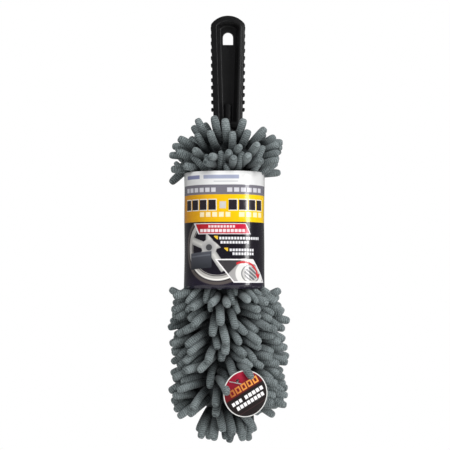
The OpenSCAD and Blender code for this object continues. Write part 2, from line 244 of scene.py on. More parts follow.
def setTheStage():
    cameraData = bpy.data.cameras.new("camera")
    cameraData.lens = view["lens"]
    cameraData.sensor_width = 36
    cameraData.clip_end = 20
    camera = bpy.data.objects.new("camera", cameraData)
    bpy.context.scene.collection.objects.link(camera)
    x, y, z = view["centre"]
    camera.location = (x, y - view["distance"], z - view["eyeBelowCentre"])
    camera.rotation_euler = (math.pi / 2 + math.atan(view["eyeBelowCentre"] / view["distance"]), 0, 0)
    bpy.context.scene.camera = camera

    floorData = bpy.data.meshes.new("floor")
    half, level = view["floorHalf"], z - view["floorBelow"]
    floorData.from_pydata([(-half, -half, level), (half, -half, level), (half, half, level),
                           (-half, half, level)], [], [(0, 1, 2, 3)])
    floor = bpy.data.objects.new("floor", floorData)
    bpy.context.scene.collection.objects.link(floor)
    paper = Recipe("palePaper")
    grain = paper.noise(paper.place(), 60)
    floorData.materials.append(paper.finish(
        Base_Color=paper.colour(grain, rgb(0.78, 0.78, 0.77), rgb(0.84, 0.84, 0.83)), Roughness=0.9))

    for name, (toward, distance, size, power) in view["lamps"].items():
        lamp = bpy.data.lights.new(name, "AREA")
        lamp.shape = "RECTANGLE"
        lamp.size, lamp.size_y = size
        lamp.energy = power
        holder = bpy.data.objects.new(name, lamp)
        holder.visible_glossy = name == view["gleam"]
        bpy.context.scene.collection.objects.link(holder)
        right, front, up = unit(np.array(toward, float)) * distance
        holder.location = (x + right, y - front, z + up)
        away = holder.location - Vector((x, y, z))
        holder.rotation_euler = away.to_track_quat("Z", "Y").to_euler()

    world = bpy.data.worlds.new("whiteRoom")
    world.use_nodes = True
    tree = world.node_tree
    tree.nodes.clear()
    seen, lit = (tree.nodes.new("ShaderNodeBackground") for _ in range(2))
    for background, strength in ((seen, 1.0), (lit, view["roomLight"])):
        background.inputs[0].default_value = (1, 1, 1, 1)
        background.inputs[1].default_value = strength
    path = tree.nodes.new("ShaderNodeLightPath")
    pick = tree.nodes.new("ShaderNodeMixShader")
    out = tree.nodes.new("ShaderNodeOutputWorld")
    tree.links.new(path.outputs["Is Camera Ray"], pick.inputs[0])
    tree.links.new(lit.outputs[0], pick.inputs[1])
    tree.links.new(seen.outputs[0], pick.inputs[2])
    tree.links.new(pick.outputs[0], out.inputs[0])
    bpy.context.scene.world = world
    bpy.context.scene.view_settings.view_transform = "Standard"
    bpy.context.scene.view_settings.look = "None"


setTheStage()
print("stage set")


# Sizes taken from the frame.
zones = range(1, 6)
clothLow, clothHigh = nodeBox(*[f"{side}_backing_{i}" for side in ("front", "back") for i in zones])
bandLow, bandHigh = nodeBox("card_band")
handleLow, handleHigh = nodeBox("handle")
tagLow, tagHigh = nodeBox("round_tag")
hemLow, hemHigh = nodeBox("sleeve_hem")
hinge = {j["name"]: j["pos_m"][2] for j in frame["record"]["behaviour"]["joints"]}
bodyNames = list(frame["record"]["behaviour"]["bodies"])

pad = {
    "halfThick": clothHigh[1],                      # to the cloth's outside
    "halfWide": clothHigh[0],
    "top": hemLow[2],
    "bottom": clothLow[2],
    "cornerRadius": 0.0233,                         # of the outline's two lower corners
}
# The sleeve is every point within halfThick of a flat region in the plane y = 0; these are that
# region's sizes.
flatHalf = pad["halfWide"] - pad["halfThick"]
flatBottom = pad["bottom"] + pad["halfThick"]
flatCorner = pad["cornerRadius"] - pad["halfThick"]

band = {
    "centreX": (bandLow[0] + bandHigh[0]) / 2,
    "outerHalfWide": (bandHigh[0] - bandLow[0]) / 2,
    "outerHalfThick": -bandLow[1],
    "card": 0.0005,
    "top": bandHigh[2],
    "bottom": bandLow[2],
    "lapWidth": 0.016,
}
tag = {
    "centre": (tagLow + tagHigh) / 2,
    "diameter": tagHigh[2] - tagLow[2],
    "thick": 0.0007,
    "turn": math.radians(18),                       # towards the right, about Z
    "holeAt": math.radians(123),
    "holeRadius": 0.0145,
}
tag["out"] = np.array([math.sin(tag["turn"]), -math.cos(tag["turn"]), 0.0])
tag["right"] = np.array([math.cos(tag["turn"]), math.sin(tag["turn"]), 0.0])
tag["up"] = np.array([0.0, 0.0, 1.0])

# Each stretch of the head, from the neck down: its limits in height, the body that it rides on or the
# two bodies whose joint it spans with the heights where the turn starts and ends, and the CAD nodes that
# it stands for.
bends = [hinge["neck_bend"], hinge["upper_bend"], hinge["middle_bend"], hinge["lower_bend"]]
gap = (bends[1] - bends[3]) / 4                     # half the distance between the lower bends
neckStart, neckEnd = bends[0] + 0.011, bends[0] - 0.013
stretches = [
    {"name": "neck", "high": 0.0, "low": neckEnd, "plan": (0, 1, neckStart, neckEnd), "core": 1},
    {"name": "aboveBand", "high": neckEnd, "low": band["top"], "plan": (1,), "core": None},
    {"name": "banded", "high": band["top"], "low": bends[1] + gap, "plan": (1,), "core": 2},
]
for body, (bendName, core) in enumerate((("upper", 3), ("middle", 4), ("lower", None)), start=1):
    high, low = bends[body] + gap, bends[body] - gap
    stretches.append({"name": bendName, "high": high, "low": low, "plan": (body, body + 1, high, low),
                      "core": core})
stretches.append({"name": "tip", "high": bends[3] - gap, "low": -math.inf, "plan": (4,), "core": 5})
for pile, part in enumerate(stretches, start=1):
    part["pile"] = pile


def follow(piece, plan):
    # rides on one body; a piece that spans two bodies gets its place baked into its points and rides on
    # neither
    if len(plan) == 1:
        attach(piece, bodyNames[plan[0]])
    else:
        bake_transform(piece)


noodle = {
    "radius": 0.0037,
    "pressedRadius": 0.0029,      # under the band
    "length": 0.0285,
    "lengthSpread": 0.0034,
    "pitch": 0.0080,              # from one root to the next
    "stray": 0.0018,              # how far a root lies from its place in the pattern
    "edgeAngles": (-72, -36, 0, 36, 72),      # of the rows round the sleeve's edge, in degrees
    "edgeTilt": 0.11,             # how far a root strays from its row, in radians
    "columns": (-0.0094, 0.0, 0.0094),        # of the columns on both flats, across
    "topMargin": 0.0015,          # from the sleeve's top to the highest roots
    "hiddenShare": 0.5,           # how many of the roots under the band are planted,
    "hiddenMargin": 0.012,        # but for those this near to its edges
    "parting": 0.007,             # how far to the left of the middle the front noodles part
    "links": 6,                   # straight links of the chain that a noodle hangs as
    "sides": 8,
    "swell": 1.10,                # makes up for what rounding takes off
    # where each noodle has a ring of points, from root to tip, and the ring's size there
    "ringPlaces": (0.0, 0.12, 0.30, 0.48, 0.66, 0.84, 0.945, 0.99),
    "ringSizes": (0.80, 1.0, 1.04, 1.05, 1.06, 1.05, 0.90, 0.52),
    "seed": 11,
    "rounds": 150,
    "unruly": 0.30,               # how much each noodle's lean differs from its neighbours'
    "droop": 0.00042,             # sets how far a tip goes each round the way it is combed
    "sag": (0, 0, -0.00012),      # step that a tip sinks each round, below the band
    # shares of the way that a point goes in each round
    "towardsPlace": 0.4, "towardsMiddle": 0.28, "straighten": 0.12, "pushApart": 0.42,
    "mostPush": 0.0022,           # the furthest that neighbours push a point in one round
    "nearness": 0.97,             # distance kept between two noodles, as a share of their radii
    "searchReach": 0.0115,        # neighbours are looked for this far away,
    "searchEvery": 8,             # once in this many rounds
    "standOut": 0.3,              # how steeply a noodle leaves the cloth at least
    "clearStep": 0.002,           # the furthest that the band or the grip moves a point in one round
    # two noodles lie over the tag: where their roots are, and their tips from the tag's centre,
    # as distances to the right and up
    "overRoots": [(0.010, -0.015, -0.312), (-0.006, -0.015, -0.331)],
    "overTips": [(0.0050, 0.0125), (-0.0192, -0.0052)],
    # three stray ones reach out beside the band's edges: their roots and their tips
    "strayRoots": [(-0.029, 0.004, -0.127), (-0.029, 0.004, -0.251), (0.029, 0.004, -0.251)],
    "strayTips": [(-0.0580, 0.006, -0.1435), (-0.0585, 0.008, -0.2430), (0.0520, 0.008, -0.2450)],
    "overLength": 0.036,
    "strayLengths": [0.034, 0.031, 0.026],
    "topTrim": 0.14,              # how much shorter the tuft's outermost ones are
}


def nearestOnFlat(p):
    # nearest point to p in the sleeve's flat region: clamp x and z to a rectangle, and at the lower
    # corners to a circle round each corner's centre
    x = np.clip(p[..., 0], -flatHalf, flatHalf)
    z = np.maximum(p[..., 2], flatBottom)
    cx = np.sign(p[..., 0]) * (flatHalf - flatCorner)
    cz = flatBottom + flatCorner
    corner = (np.abs(p[..., 0]) > flatHalf - flatCorner) & (p[..., 2] < cz)
    away = np.stack([p[..., 0] - cx, p[..., 2] - cz], -1)
    far = np.linalg.norm(away, axis=-1)
    scale = np.minimum(1, flatCorner / np.maximum(far, 1e-9))
    x = np.where(corner, cx + away[..., 0] * scale, x)
    z = np.where(corner, cz + away[..., 1] * scale, z)
    return np.stack([x, np.zeros_like(x), z], -1)


def padDistance(p):
    # distance outside the sleeve, and the outward direction: from the flat region's nearest point
    near = nearestOnFlat(p)
    d = p - near
    r = np.linalg.norm(d, axis=-1)
    return r - pad["halfThick"], d / np.maximum(r, 1e-9)[..., None]


def ovalDistance(p, halfWide, halfThick):
    # distance from a stadium post round the band's axis, and its outward direction in X and Y
    x = p[..., 0] - band["centreX"]
    core = halfWide - halfThick
    dx = x - np.clip(x, -core, core)
    r = np.hypot(dx, p[..., 1])
    out = np.stack([dx, p[..., 1], np.zeros_like(dx)], -1) / np.maximum(r, 1e-9)[..., None]
    return r - halfThick, out


def plantRoots(rng):
    # roots on the sleeve: rows along the round edge at several angles, and columns on both flats
    roots = []
    top, pitch, stray = pad["top"] - noodle["topMargin"], noodle["pitch"], noodle["stray"]
    straight = top - (flatBottom + flatCorner)
    for k, angle in enumerate(np.radians(noodle["edgeAngles"])):
        outer = flatCorner + pad["halfThick"] * math.cos(angle)
        quarter = outer * math.pi / 2
        runs = [straight, quarter, 2 * (flatHalf - flatCorner), quarter, straight]
        total = sum(runs)
        count = int(round(total / pitch))
        s = (np.arange(count) + (0.5 if k % 2 else 0.0) + 0.25) / count * total
        s = np.clip(s + rng.uniform(-stray, stray, count), 0, total)
        x, z = edgePath(s, runs, outer)
        tilt = angle + rng.uniform(-noodle["edgeTilt"], noodle["edgeTilt"], count)
        near = nearestOnFlat(np.stack([x, 0 * x, z], -1))
        out = unit(np.stack([x, 0 * x, z], -1) - near)
        out = out * np.cos(tilt)[:, None]
        out[:, 1] = np.sin(tilt)
        roots.append(near + out * pad["halfThick"])
    for side in (-1, 1):
        for k, x in enumerate(noodle["columns"]):
            z = np.arange(top - (0.5 if k % 2 else 0.0) * pitch, flatBottom + 0.001, -pitch)
            jitter = rng.uniform(-stray, stray, (2, len(z)))
            roots.append(np.stack([x + jitter[0], np.full(len(z), side * pad["halfThick"]),
                                   np.minimum(z + jitter[1], top)], -1))
    roots = np.concatenate(roots)
    # fewer where the card presses them flat and hides them
    margin = noodle["hiddenMargin"]
    hidden = (roots[:, 2] < band["top"] - margin) & (roots[:, 2] > band["bottom"] + margin)
    return roots[~hidden | (rng.uniform(0, 1, len(roots)) < noodle["hiddenShare"])]


def edgePath(s, runs, outer):
    # the outline at distance s along it: down the left side, round the bottom, up the right side
    ends = np.cumsum(runs)
    cx, cz = flatHalf - flatCorner, flatBottom + flatCorner
    side = cx + outer
    top = pad["top"] - noodle["topMargin"]
    left = np.clip((s - ends[0]) / outer, 0, math.pi / 2)
    right = np.clip((s - ends[2]) / outer, 0, math.pi / 2)
    onRun = [s < end for end in ends[:4]]
    x = np.select(onRun, [-side, -cx - outer * np.cos(left), -cx + (s - ends[1]),
                          cx + outer * np.sin(right)], side)
    z = np.select(onRun, [top - s, cz - outer * np.sin(left), cz - outer, cz - outer * np.cos(right)],
                  cz + (s - ends[3]))
    return x, z


def combDirection(root, out, rng):
    # The way each noodle starts and the way it is pulled. In the tuft it is up and to the side, more
    # upright towards the top. Below the band the middle ones hang and the others reach to their side.
    # Beside the band's edges they stand straight out, and round the head's end they point away.
    z = root[:, 2]
    upward = z > (band["top"] + band["bottom"]) / 2
    parting = np.where(upward, 0, noodle["parting"] * (out[:, 1] < -0.2))
    side = np.clip((root[:, 0] + parting) / pad["halfWide"], -1, 1)
    aside = np.abs(side)
    under = (z < band["top"]) & (z > band["bottom"])
    rise = smoothStep(band["top"] - 0.002, pad["top"] - 0.004, z)
    nearEdge = smoothStep(band["bottom"] - 0.018, band["bottom"] - 0.003, z)
    end = -out[:, 2]
    fall = smoothStep(0.55, 0.8, end)
    down = -(0.12 + 0.8 * (1 - aside) ** 1.5) * (1 - 0.7 * nearEdge) + 0.35 * nearEdge * aside
    down = (down + 0.9 * np.clip(end, 0, 1)) * (1 - fall) - fall
    lean = np.zeros_like(root)
    outwards = np.sign(side) * np.minimum(aside * 2.1, 1.1) * (1 - 0.75 * fall)
    lean[:, 0] = np.where(upward, 0.95 * side, outwards)
    lean[:, 2] = np.where(upward, 0.1 + 1.3 * rise * (1 - 0.65 * aside), down)
    lean[:, 2] = np.where(under, np.where(upward, 1.2, -1.2), lean[:, 2])
    lean += rng.normal(0, noodle["unruly"], root.shape) * np.where(under, 0.2, 1.0)[:, None]
    start = unit(out * np.where(under, 0.25, 0.8)[:, None] + 0.55 * lean)
    stand = np.where(under, 0.0, np.where(upward, 0.15 + 1.2 * (1 - rise), 0.25 + 1.3 * nearEdge))
    return start, unit(lean + out * stand[:, None]), under


def relaxNoodles():
    # Each noodle is a chain of points from its root. Each round leans the tips, straightens the
    # chain, pushes apart points of different noodles that are nearer than a thickness, pushes
    # points out of the sleeve, band, handle and tag, and sets every link back to its length.
    rng = np.random.default_rng(noodle["seed"])
    root = plantRoots(rng)
    _, out = padDistance(root)
    count, links = len(root), noodle["links"]
    start, pull, under = combDirection(root, out, rng)
    # a few noodles are led to a place of their own: over the tag's edge, or out beside the band
    over, strays = ([int(np.argmin(np.linalg.norm(root - place, axis=1))) for place in noodle[kind]]
                    for kind in ("overRoots", "strayRoots"))
    placed = over + strays
    tips = [tag["centre"] + right * tag["right"] + up * tag["up"] + 0.006 * tag["out"]
            for right, up in noodle["overTips"]] + noodle["strayTips"]
    sag = np.where(root[:, 2] < band["bottom"], 1.0, 0.0)[:, None] * np.array(noodle["sag"])
    length = noodle["length"] + rng.uniform(-1, 1, count) * noodle["lengthSpread"]
    radius = np.where(under, noodle["pressedRadius"], noodle["radius"]) * rng.uniform(0.94, 1.06, count)
    rise = smoothStep(band["top"], pad["top"], root[:, 2])
    length *= 1 - noodle["topTrim"] * rise * np.minimum(np.abs(root[:, 0]) / pad["halfWide"], 1)
    length[over] = noodle["overLength"]
    length[strays] = noodle["strayLengths"]
    link = (length / links)[:, None]
    step = np.arange(links + 1)
    p = root[:, None, :] + start[:, None, :] * (link * step)[..., None]
    owner = np.repeat(np.arange(count), links + 1)
    reach = np.repeat(radius, links + 1)
    rank = np.tile(step, count)
    weight = (step / links)[None, :, None]
    handleHalf = np.array([handleHigh[0], handleHigh[1]]) + 0.001
    gripEnd = hemHigh[2] - 0.004
    for turn in range(noodle["rounds"]):
        cool = 1 - 0.75 * turn / noodle["rounds"]
        p[:, 1:] += (pull[:, None, :] * weight * noodle["droop"] * cool * 1.6)[:, 1:]
        p[:, 1:] += (sag[:, None, :] * weight ** 3)[:, 1:]
        p[placed] += noodle["towardsPlace"] * weight * (tips - p[placed, -1])[:, None]
        middle = (p[:, :-2] + p[:, 2:]) / 2
        p[:, 1:-1] += noodle["towardsMiddle"] * (middle - p[:, 1:-1])
        p[:, 2:] += noodle["straighten"] * (2 * p[:, 1:-1] - p[:, :-2] - p[:, 2:])
        flatP = p.reshape(-1, 3)
        if turn % noodle["searchEvery"] == 0:
            i, j = nearPairs(flatP, owner, noodle["searchReach"])
        apart = flatP[i] - flatP[j]
        gapNow = np.linalg.norm(apart, axis=1)
        want = noodle["nearness"] * (reach[i] + reach[j])
        push = np.clip(want - gapNow, 0, None) * noodle["pushApart"]
        move = apart / np.maximum(gapNow, 1e-9)[:, None] * push[:, None]
        total = np.zeros_like(flatP)
        for axis in range(3):
            total[:, axis] = (np.bincount(i, move[:, axis], len(flatP))
                              - np.bincount(j, move[:, axis], len(flatP)))
        size = np.linalg.norm(total, axis=1, keepdims=True)
        total *= np.minimum(1, noodle["mostPush"] / np.maximum(size, 1e-9))
        flatP = flatP + total * (rank > 0)[:, None]
        # out of the sleeve
        d, n = padDistance(flatP)
        short = np.clip(np.where(rank > 1, reach * 0.9, reach * 0.2) - d, 0, None) * (rank > 0)
        flatP = flatP + n * short[:, None]
        flatP = keepClear(flatP, reach, rank, np.repeat(under, links + 1), np.isin(owner, over),
                         handleHalf, gripEnd)
        p = flatP.reshape(count, links + 1, 3)
        # links back to length, from the root out
        p[:, 0] = root
        first = unit(p[:, 1] - root)
        stand = np.sum(first * out, axis=1, keepdims=True)
        first = unit(first + out * np.clip(noodle["standOut"] - stand, 0, None))
        p[:, 1] = root + first * link
        for k in range(1, links):
            p[:, k + 1] = p[:, k] + unit(p[:, k + 1] - p[:, k]) * link
    return {"path": p, "radius": radius, "root": root, "length": length,
            "tone": rng.uniform(0, 1, count)}


def nearPairs(points, owner, reach):
    # all pairs of points of different noodles nearer than reach, found block by block
    found = []
    small = points.astype(np.float32)
    for begin in range(0, len(small), 400):
        block = small[begin:begin + 400]
        square = ((block ** 2).sum(1)[:, None] + (small ** 2).sum(1)[None, :] - 2 * block @ small.T)
        a, b = np.nonzero(square < reach * reach)
        a = a + begin
        keep = (a < b) & (owner[a] != owner[b])
        found.append((a[keep], b[keep]))
    return np.concatenate([f[0] for f in found]), np.concatenate([f[1] for f in found])


def keepClear(q, reach, rank, pressed, onTag, handleHalf, gripEnd):
    # out of the band's card from both sides, the handle and the tag
    most = noodle["clearStep"]
    free = rank > 0
    level = (q[:, 2] < band["top"] + 0.001) & (q[:, 2] > band["bottom"] - 0.001)
    d, n = ovalDistance(q, band["outerHalfWide"], band["outerHalfThick"])
    inside = pressed & level & (d > -(reach + band["card"]))
    q = q - n * np.where(inside, np.clip(d + reach + band["card"] + 0.0001, 0, 0.004), 0)[:, None]
    outside = ~pressed & level & free & (d < reach)
    middle = (band["top"] + band["bottom"]) / 2
    # a free noodle over the card goes back past the card's edge or out, whichever is nearer
    toEdge = np.where(q[:, 2] > middle, band["top"] - q[:, 2], q[:, 2] - band["bottom"]) + reach
    viaEdge = outside & (toEdge < reach - d)
    pastEdge = np.where(viaEdge, np.sign(q[:, 2] - middle) * np.clip(toEdge, 0, most), 0)
    q = q + pastEdge[:, None] * np.array([0, 0, 1.0])
    q = q + n * np.where(outside & ~viaEdge, np.clip(reach - d, 0, most), 0)[:, None]
    # the grip: a box above the neck
    dx = handleHalf[0] + reach - np.abs(q[:, 0])
    dy = handleHalf[1] + reach - np.abs(q[:, 1])
    dz = q[:, 2] + reach - gripEnd
    hit = (dx > 0) & (dy > 0) & (dz > 0) & free
    viaX = hit & (dx <= dy)
    viaY = hit & (dy < dx)
    q = q + np.where(viaX, np.sign(q[:, 0]) * np.minimum(dx, most), 0)[:, None] * np.array([1.0, 0, 0])
    q = q + np.where(viaY, np.sign(q[:, 1]) * np.minimum(dy, most), 0)[:, None] * np.array([0, 1.0, 0])
    # the tag: points near its disc move behind it, or in front if their noodle lies over it
    rel = q - tag["centre"]
    depth = rel @ tag["out"]
    flat = rel - depth[:, None] * tag["out"]
    across = np.linalg.norm(flat, axis=1)
    touching = (across < tag["diameter"] / 2 + 0.6 * reach) & free
    behind = touching & ~onTag & (depth > -reach - 0.0006) & (depth < 0.02)
    inFront = touching & onTag & (depth > -0.030) & (depth < reach + 0.0008)
    move = np.where(behind, -np.minimum(depth + reach + 0.0007, 0.003), 0)
    move = np.where(inFront, np.minimum(reach + 0.0008 - depth, 0.003), move)
    return q + tag["out"] * move[:, None]


def tubeFaces(rings, sides, count):
    # faces of a closed tube with a pole at each end, repeated for every tube
    each = rings * sides + 2
    quads = gridFaces(rings, sides, wrapCols=True)
    first = poleFaces(0, sides, rings * sides, False)
    last = poleFaces((rings - 1) * sides, sides, rings * sides + 1, True)
    faces = []
    for n in range(count):
        faces += (quads + n * each).tolist() + (first + n * each).tolist() + (last + n * each).tolist()
    return faces


def tubesAlong(path, radius, places, shape, sides):
    # Rings of points round each path: at each place along it, from 0 at the root to 1 at the tip,
    # the ring's radius is the noodle's radius times the shape there. Frames are carried along the
    # path by projecting the last side direction on each new ring's plane.
    count, knots = path.shape[:2]
    t = np.asarray(places) * (knots - 1)
    k = np.clip(t.astype(int), 0, knots - 2)
    u = (t - k)[None, :, None]
    before = path[:, np.maximum(k - 1, 0)]
    a, b = path[:, k], path[:, k + 1]
    after = path[:, np.minimum(k + 2, knots - 1)]
    centre = 0.5 * ((2 * a) + (b - before) * u + (2 * before - 5 * a + 4 * b - after) * u ** 2
                    + (3 * a - before - 3 * b + after) * u ** 3)
    ahead = unit(np.gradient(centre, axis=1))
    steep = np.abs(ahead[:, 0, 2:3]) > 0.9
    side = unit(np.cross(ahead[:, 0], np.where(steep, [1.0, 0, 0], [0, 0, 1.0])))
    angle = np.arange(sides) / sides * 2 * math.pi
    cosine, sine = np.cos(angle)[None, :, None], np.sin(angle)[None, :, None]
    rings = []
    for r in range(len(places)):
        f = ahead[:, r]
        side = unit(side - np.sum(side * f, axis=1, keepdims=True) * f)
        other = np.cross(f, side)
        ring = cosine * side[:, None] + sine * other[:, None]
        rings.append(centre[:, r, None] + ring * (radius * shape[r])[:, None, None])
    body = np.stack(rings, 1).reshape(count, -1, 3)
    poles = np.stack([centre[:, 0], path[:, -1]], 1)
    return np.concatenate([body, poles], 1)


def chenilleMaterial():
    r = Recipe("greyGreenChenille")
    around, along = r.flat()                        # turns, and millimetres from the root
    tone = r.wire(r.node("ShaderNodeAttribute", {"attribute_name": "tone"}), 2)
    place = r.place()
    fuzz = r.noise(place, 1150, 4, 0.8)
    clump = r.noise(place, 420, 2)
    slant = (around * (2 * math.pi) + tone * 9).sine() * 0.55
    ridge = ((along + slant + clump * 2.4) * (2 * math.pi / 1.9)).sine() * 0.5 + 0.5
    # painted shade: each noodle goes darker towards its root, where the noodles crowd together
    paintedRootShade = along.above(14.0, 15.0)
    # the ridge term darkens the grooves between ridges, which is painted shade; fuzz, clump and tone are
    # the pile's own random tone
    light = ridge * 0.42 + (fuzz - 0.5) * 1.7 + clump * 0.3 + tone * 0.26 - 0.02
    pile = r.colour(light.limited(), rgb(0.042, 0.053, 0.055), rgb(0.335, 0.382, 0.388))
    # painted shade: near the root the pile colour gives way to near black
    shade = r.colour(paintedRootShade, rgb(0.009, 0.011, 0.012), pile)
    height = ridge * 0.65 + fuzz * 0.9
    return r.finish(Base_Color=shade, Roughness=0.92, Normal=r.bump(height, 0.8, 0.0008),
                    Sheen_Weight=0.2, Sheen_Roughness=0.45, Sheen_Tint=rgb(0.85, 0.9, 0.92),
                    Specular_IOR_Level=0.15)


def makeNoodles():
    material = chenilleMaterial()
    grown = relaxNoodles()
    print("noodles relaxed:", len(grown["root"]))
    places, sides = noodle["ringPlaces"], noodle["sides"]
    shape = np.array(noodle["ringSizes"]) * noodle["swell"]
    points = tubesAlong(grown["path"], grown["radius"], places, shape, sides)
    rows = len(places)
    u = np.tile(np.append(np.tile(np.arange(sides) / sides, rows), [0.5, 0.5]), (len(points), 1))
    v = np.append(np.repeat(places, sides), [0.0, 1.0])[None, :] * grown["length"][:, None] * 1000
    uv = np.stack([u, v], -1)
    back = grown["root"][:, 1] >= 0
    z = grown["root"][:, 2]
    for sideName, chosenSide in (("front", ~back), ("back", back)):
        for part in stretches:
            pick = np.nonzero(chosenSide & (z <= part["high"]) & (z > part["low"]))[0]
            piece = addMesh(f"{sideName}-noodles-{part['name']}", points[pick].reshape(-1, 3),
                            tubeFaces(rows, sides, len(pick)), material, uv=uv[pick].reshape(-1, 2),
                            tone=np.repeat(grown["tone"][pick], points.shape[1]))
            soften = piece.modifiers.new("round", "SUBSURF")
            soften.levels = soften.render_levels = 1
            follow(piece, part["plan"])
            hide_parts(f"{sideName}_noodles_{part['pile']}")


makeNoodles()
print("noodles made")


# Widths, heights and edges of the grip; heights are from the middle of the hanging slot.
grip = {
    "shoulder": 0.010, "gripEnd": -0.090, "lowWidth": 0.028, "crownRadius": 0.0206, "corner": 0.004,
    "rim": 0.0056, "slope": 0.0034, "webThick": 0.004, "edge": 0.0026, "crown": 0.0007,
    "slotWide": 0.0099, "slotHigh": 0.0128, "bossWide": 0.009, "bossTop": -0.0635,
    "ribs": 12, "ribPitch": 0.00728, "ribThick": 0.0024, "ribStraight": 0.010,
    "ribProudTop": 0.0003, "ribProudLow": 0.0019, "neckWide": 0.016,
    "innerCorner": 0.0014,        # the smallest corner radius of an inset outline
    "outlinePoints": 160,
}
grip["halfTop"] = (handleHigh[0] - handleLow[0]) / 2 - grip["ribProudTop"]


def gripLoop(inset, corner):
    # the grip's outline inset by a distance: four corner arcs and the crown's arc joined by straight
    # sides, as points at equal steps along it from where the lower right corner starts
    halfLow = grip["lowWidth"] / 2
    centre = handleHigh[2] - grip["crownRadius"]
    x = grip["halfTop"] - inset - corner
    z = centre + math.sqrt((grip["crownRadius"] - inset - corner) ** 2 - x * x)
    meet = math.atan2(z - centre, x)

    def arc(cx, cz, r, a0, a1, n):
        a = np.linspace(a0, a1, n)
        return np.stack([cx + r * np.cos(a), cz + r * np.sin(a)], -1)

    low = halfLow - inset - corner
    right = np.concatenate([
        arc(low, grip["gripEnd"] + inset + corner, corner, -math.pi / 2, 0, 12),
        arc(x, z, corner, 0, meet, 10),
        arc(0, centre, grip["crownRadius"] - inset, meet + 0.02, math.pi / 2, 24)])
    left = right[::-1] * [-1, 1]
    outline = np.concatenate([right, left[1:-1]])
    closed = np.concatenate([outline, outline[:1]])
    steps = np.append(0, np.cumsum(np.linalg.norm(np.diff(closed, axis=0), axis=1)))
    s = np.linspace(0, steps[-1], grip["outlinePoints"], endpoint=False)
    return np.stack([np.interp(s, steps, closed[:, 0]), np.interp(s, steps, closed[:, 1])], -1)


def gripProfile():
    # pairs of inset and height above the middle plane, from the side's middle to the web: a round
    # outer edge, a slightly crowned rim, a rounded inner edge, the sloping wall and its fillet
    half, edge = handleHigh[1], grip["edge"]
    a = np.linspace(0, math.pi / 2, 7)
    outer = np.stack([edge * (1 - np.cos(a)), half - grip["crown"] - edge + edge * np.sin(a)], -1)
    t = np.linspace(0, 1, 6)[1:]
    rimEnd = grip["rim"] - 0.0006
    rim = np.stack([edge + (rimEnd - edge) * t,
                    half - grip["crown"] * (1 - np.sin(t * math.pi / 2))], -1)
    inner = np.array([[grip["rim"] - 0.0002, half - 0.00015], [grip["rim"] + 0.0003, half - 0.0007]])
    web = grip["webThick"] / 2
    wall = np.stack([grip["rim"] + 0.0003 + (grip["slope"] - 0.0006) * np.linspace(0.12, 1, 5),
                     half - 0.0007 - (half - web - 0.0014) * np.linspace(0.12, 1, 5)], -1)
    foot = np.array([[grip["rim"] + grip["slope"] + 0.0001, web + 0.0002],
                     [grip["rim"] + grip["slope"] + 0.0008, web]])
    side = np.stack([np.zeros(3), np.linspace(0, half - grip["crown"] - edge, 4)[:3]], -1)
    return np.concatenate([side, outer, rim, inner, wall, foot])


def slotLoop(rays):
    # where each ray from the slot's centre meets its outline: a flat sill, straight sides and a
    # round arch
    w, h = grip["slotWide"] / 2, grip["slotHigh"] / 2
    arch = h - w
    dx, dz = rays[:, 0], rays[:, 1]
    side = w / np.maximum(np.abs(dx), 1e-9)
    sill = np.where(dz < 0, h / np.maximum(-dz, 1e-9), np.inf)
    b = dz * arch
    ring = b + np.sqrt(np.maximum(b * b - arch * arch + w * w, 0))
    onArch = (dz * ring > arch) & (dz > 0)
    reach = np.where(onArch, ring, np.minimum(side, sill))
    return rays * reach[:, None]


def makeHandle(material):
    # loops of points at one depth each: down the moulding's section, then over the web to the slot
    count = grip["outlinePoints"]
    web = grip["webThick"] / 2
    levels = [(gripLoop(inset, max(grip["corner"] - inset, grip["innerCorner"])), height)
              for inset, height in gripProfile()]
    floorLoop = levels[-1][0]
    slot = slotLoop(unit(floorLoop))
    levels += [(floorLoop * (1 - t) + slot * t, web) for t in (0.25, 0.55, 0.85, 1.0)]
    levels.append((slot, web - 0.0004))
    sheets = [np.stack([loop[:, 0], np.full(count, -height), loop[:, 1]], -1) for loop, height in levels]
    front = np.stack(sheets)
    back = front[::-1].copy()
    back[..., 1] *= -1
    grid = np.concatenate([front, back[:-1]])       # the two share the ring round the sides
    rows = len(grid)
    points = [grid.reshape(-1, 3)]
    faces = gridFaces(rows, count, wrapCols=True, wrapRows=True)[:, ::-1].tolist()
    # the boss in both channels, the neck and the ribs are tubes with round ends
    start = rows * count
    spans = [((0, 0, grip["gripEnd"] - 0.002), (0, 0, grip["bossTop"]), grip["bossWide"] / 2, 0.5),
             ((0, 0, handleLow[2]), (0, 0, grip["gripEnd"] + 0.004), grip["neckWide"] / 2, 0.06)]
    slopeX = (grip["halfTop"] - grip["lowWidth"] / 2) / (grip["shoulder"] - grip["gripEnd"])
    prouder = grip["ribProudLow"] - grip["ribProudTop"]
    for i in range(grip["ribs"]):
        z = grip["shoulder"] - i * grip["ribPitch"]
        wide = grip["lowWidth"] / 2 + slopeX * (z - grip["gripEnd"])
        proud = grip["ribProudTop"] + prouder * i / (grip["ribs"] - 1)
        x = wide + proud - grip["ribThick"] / 2
        half = grip["ribStraight"] / 2 + grip["ribThick"] / 2
        for side in (-1, 1):
            spans.append(((side * x, -half, z), (side * x, half, z), grip["ribThick"] / 2, 1.0))
    for a, b, radius, roundness in spans:
        p, f = roundBar(np.array(a, float), np.array(b, float), radius, roundness, start)
        points.append(p)
        faces += f
        start += len(p)
    piece = addMesh("handle-moulding", np.concatenate(points), faces, material)
    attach(piece, bodyNames[0])
    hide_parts("handle")


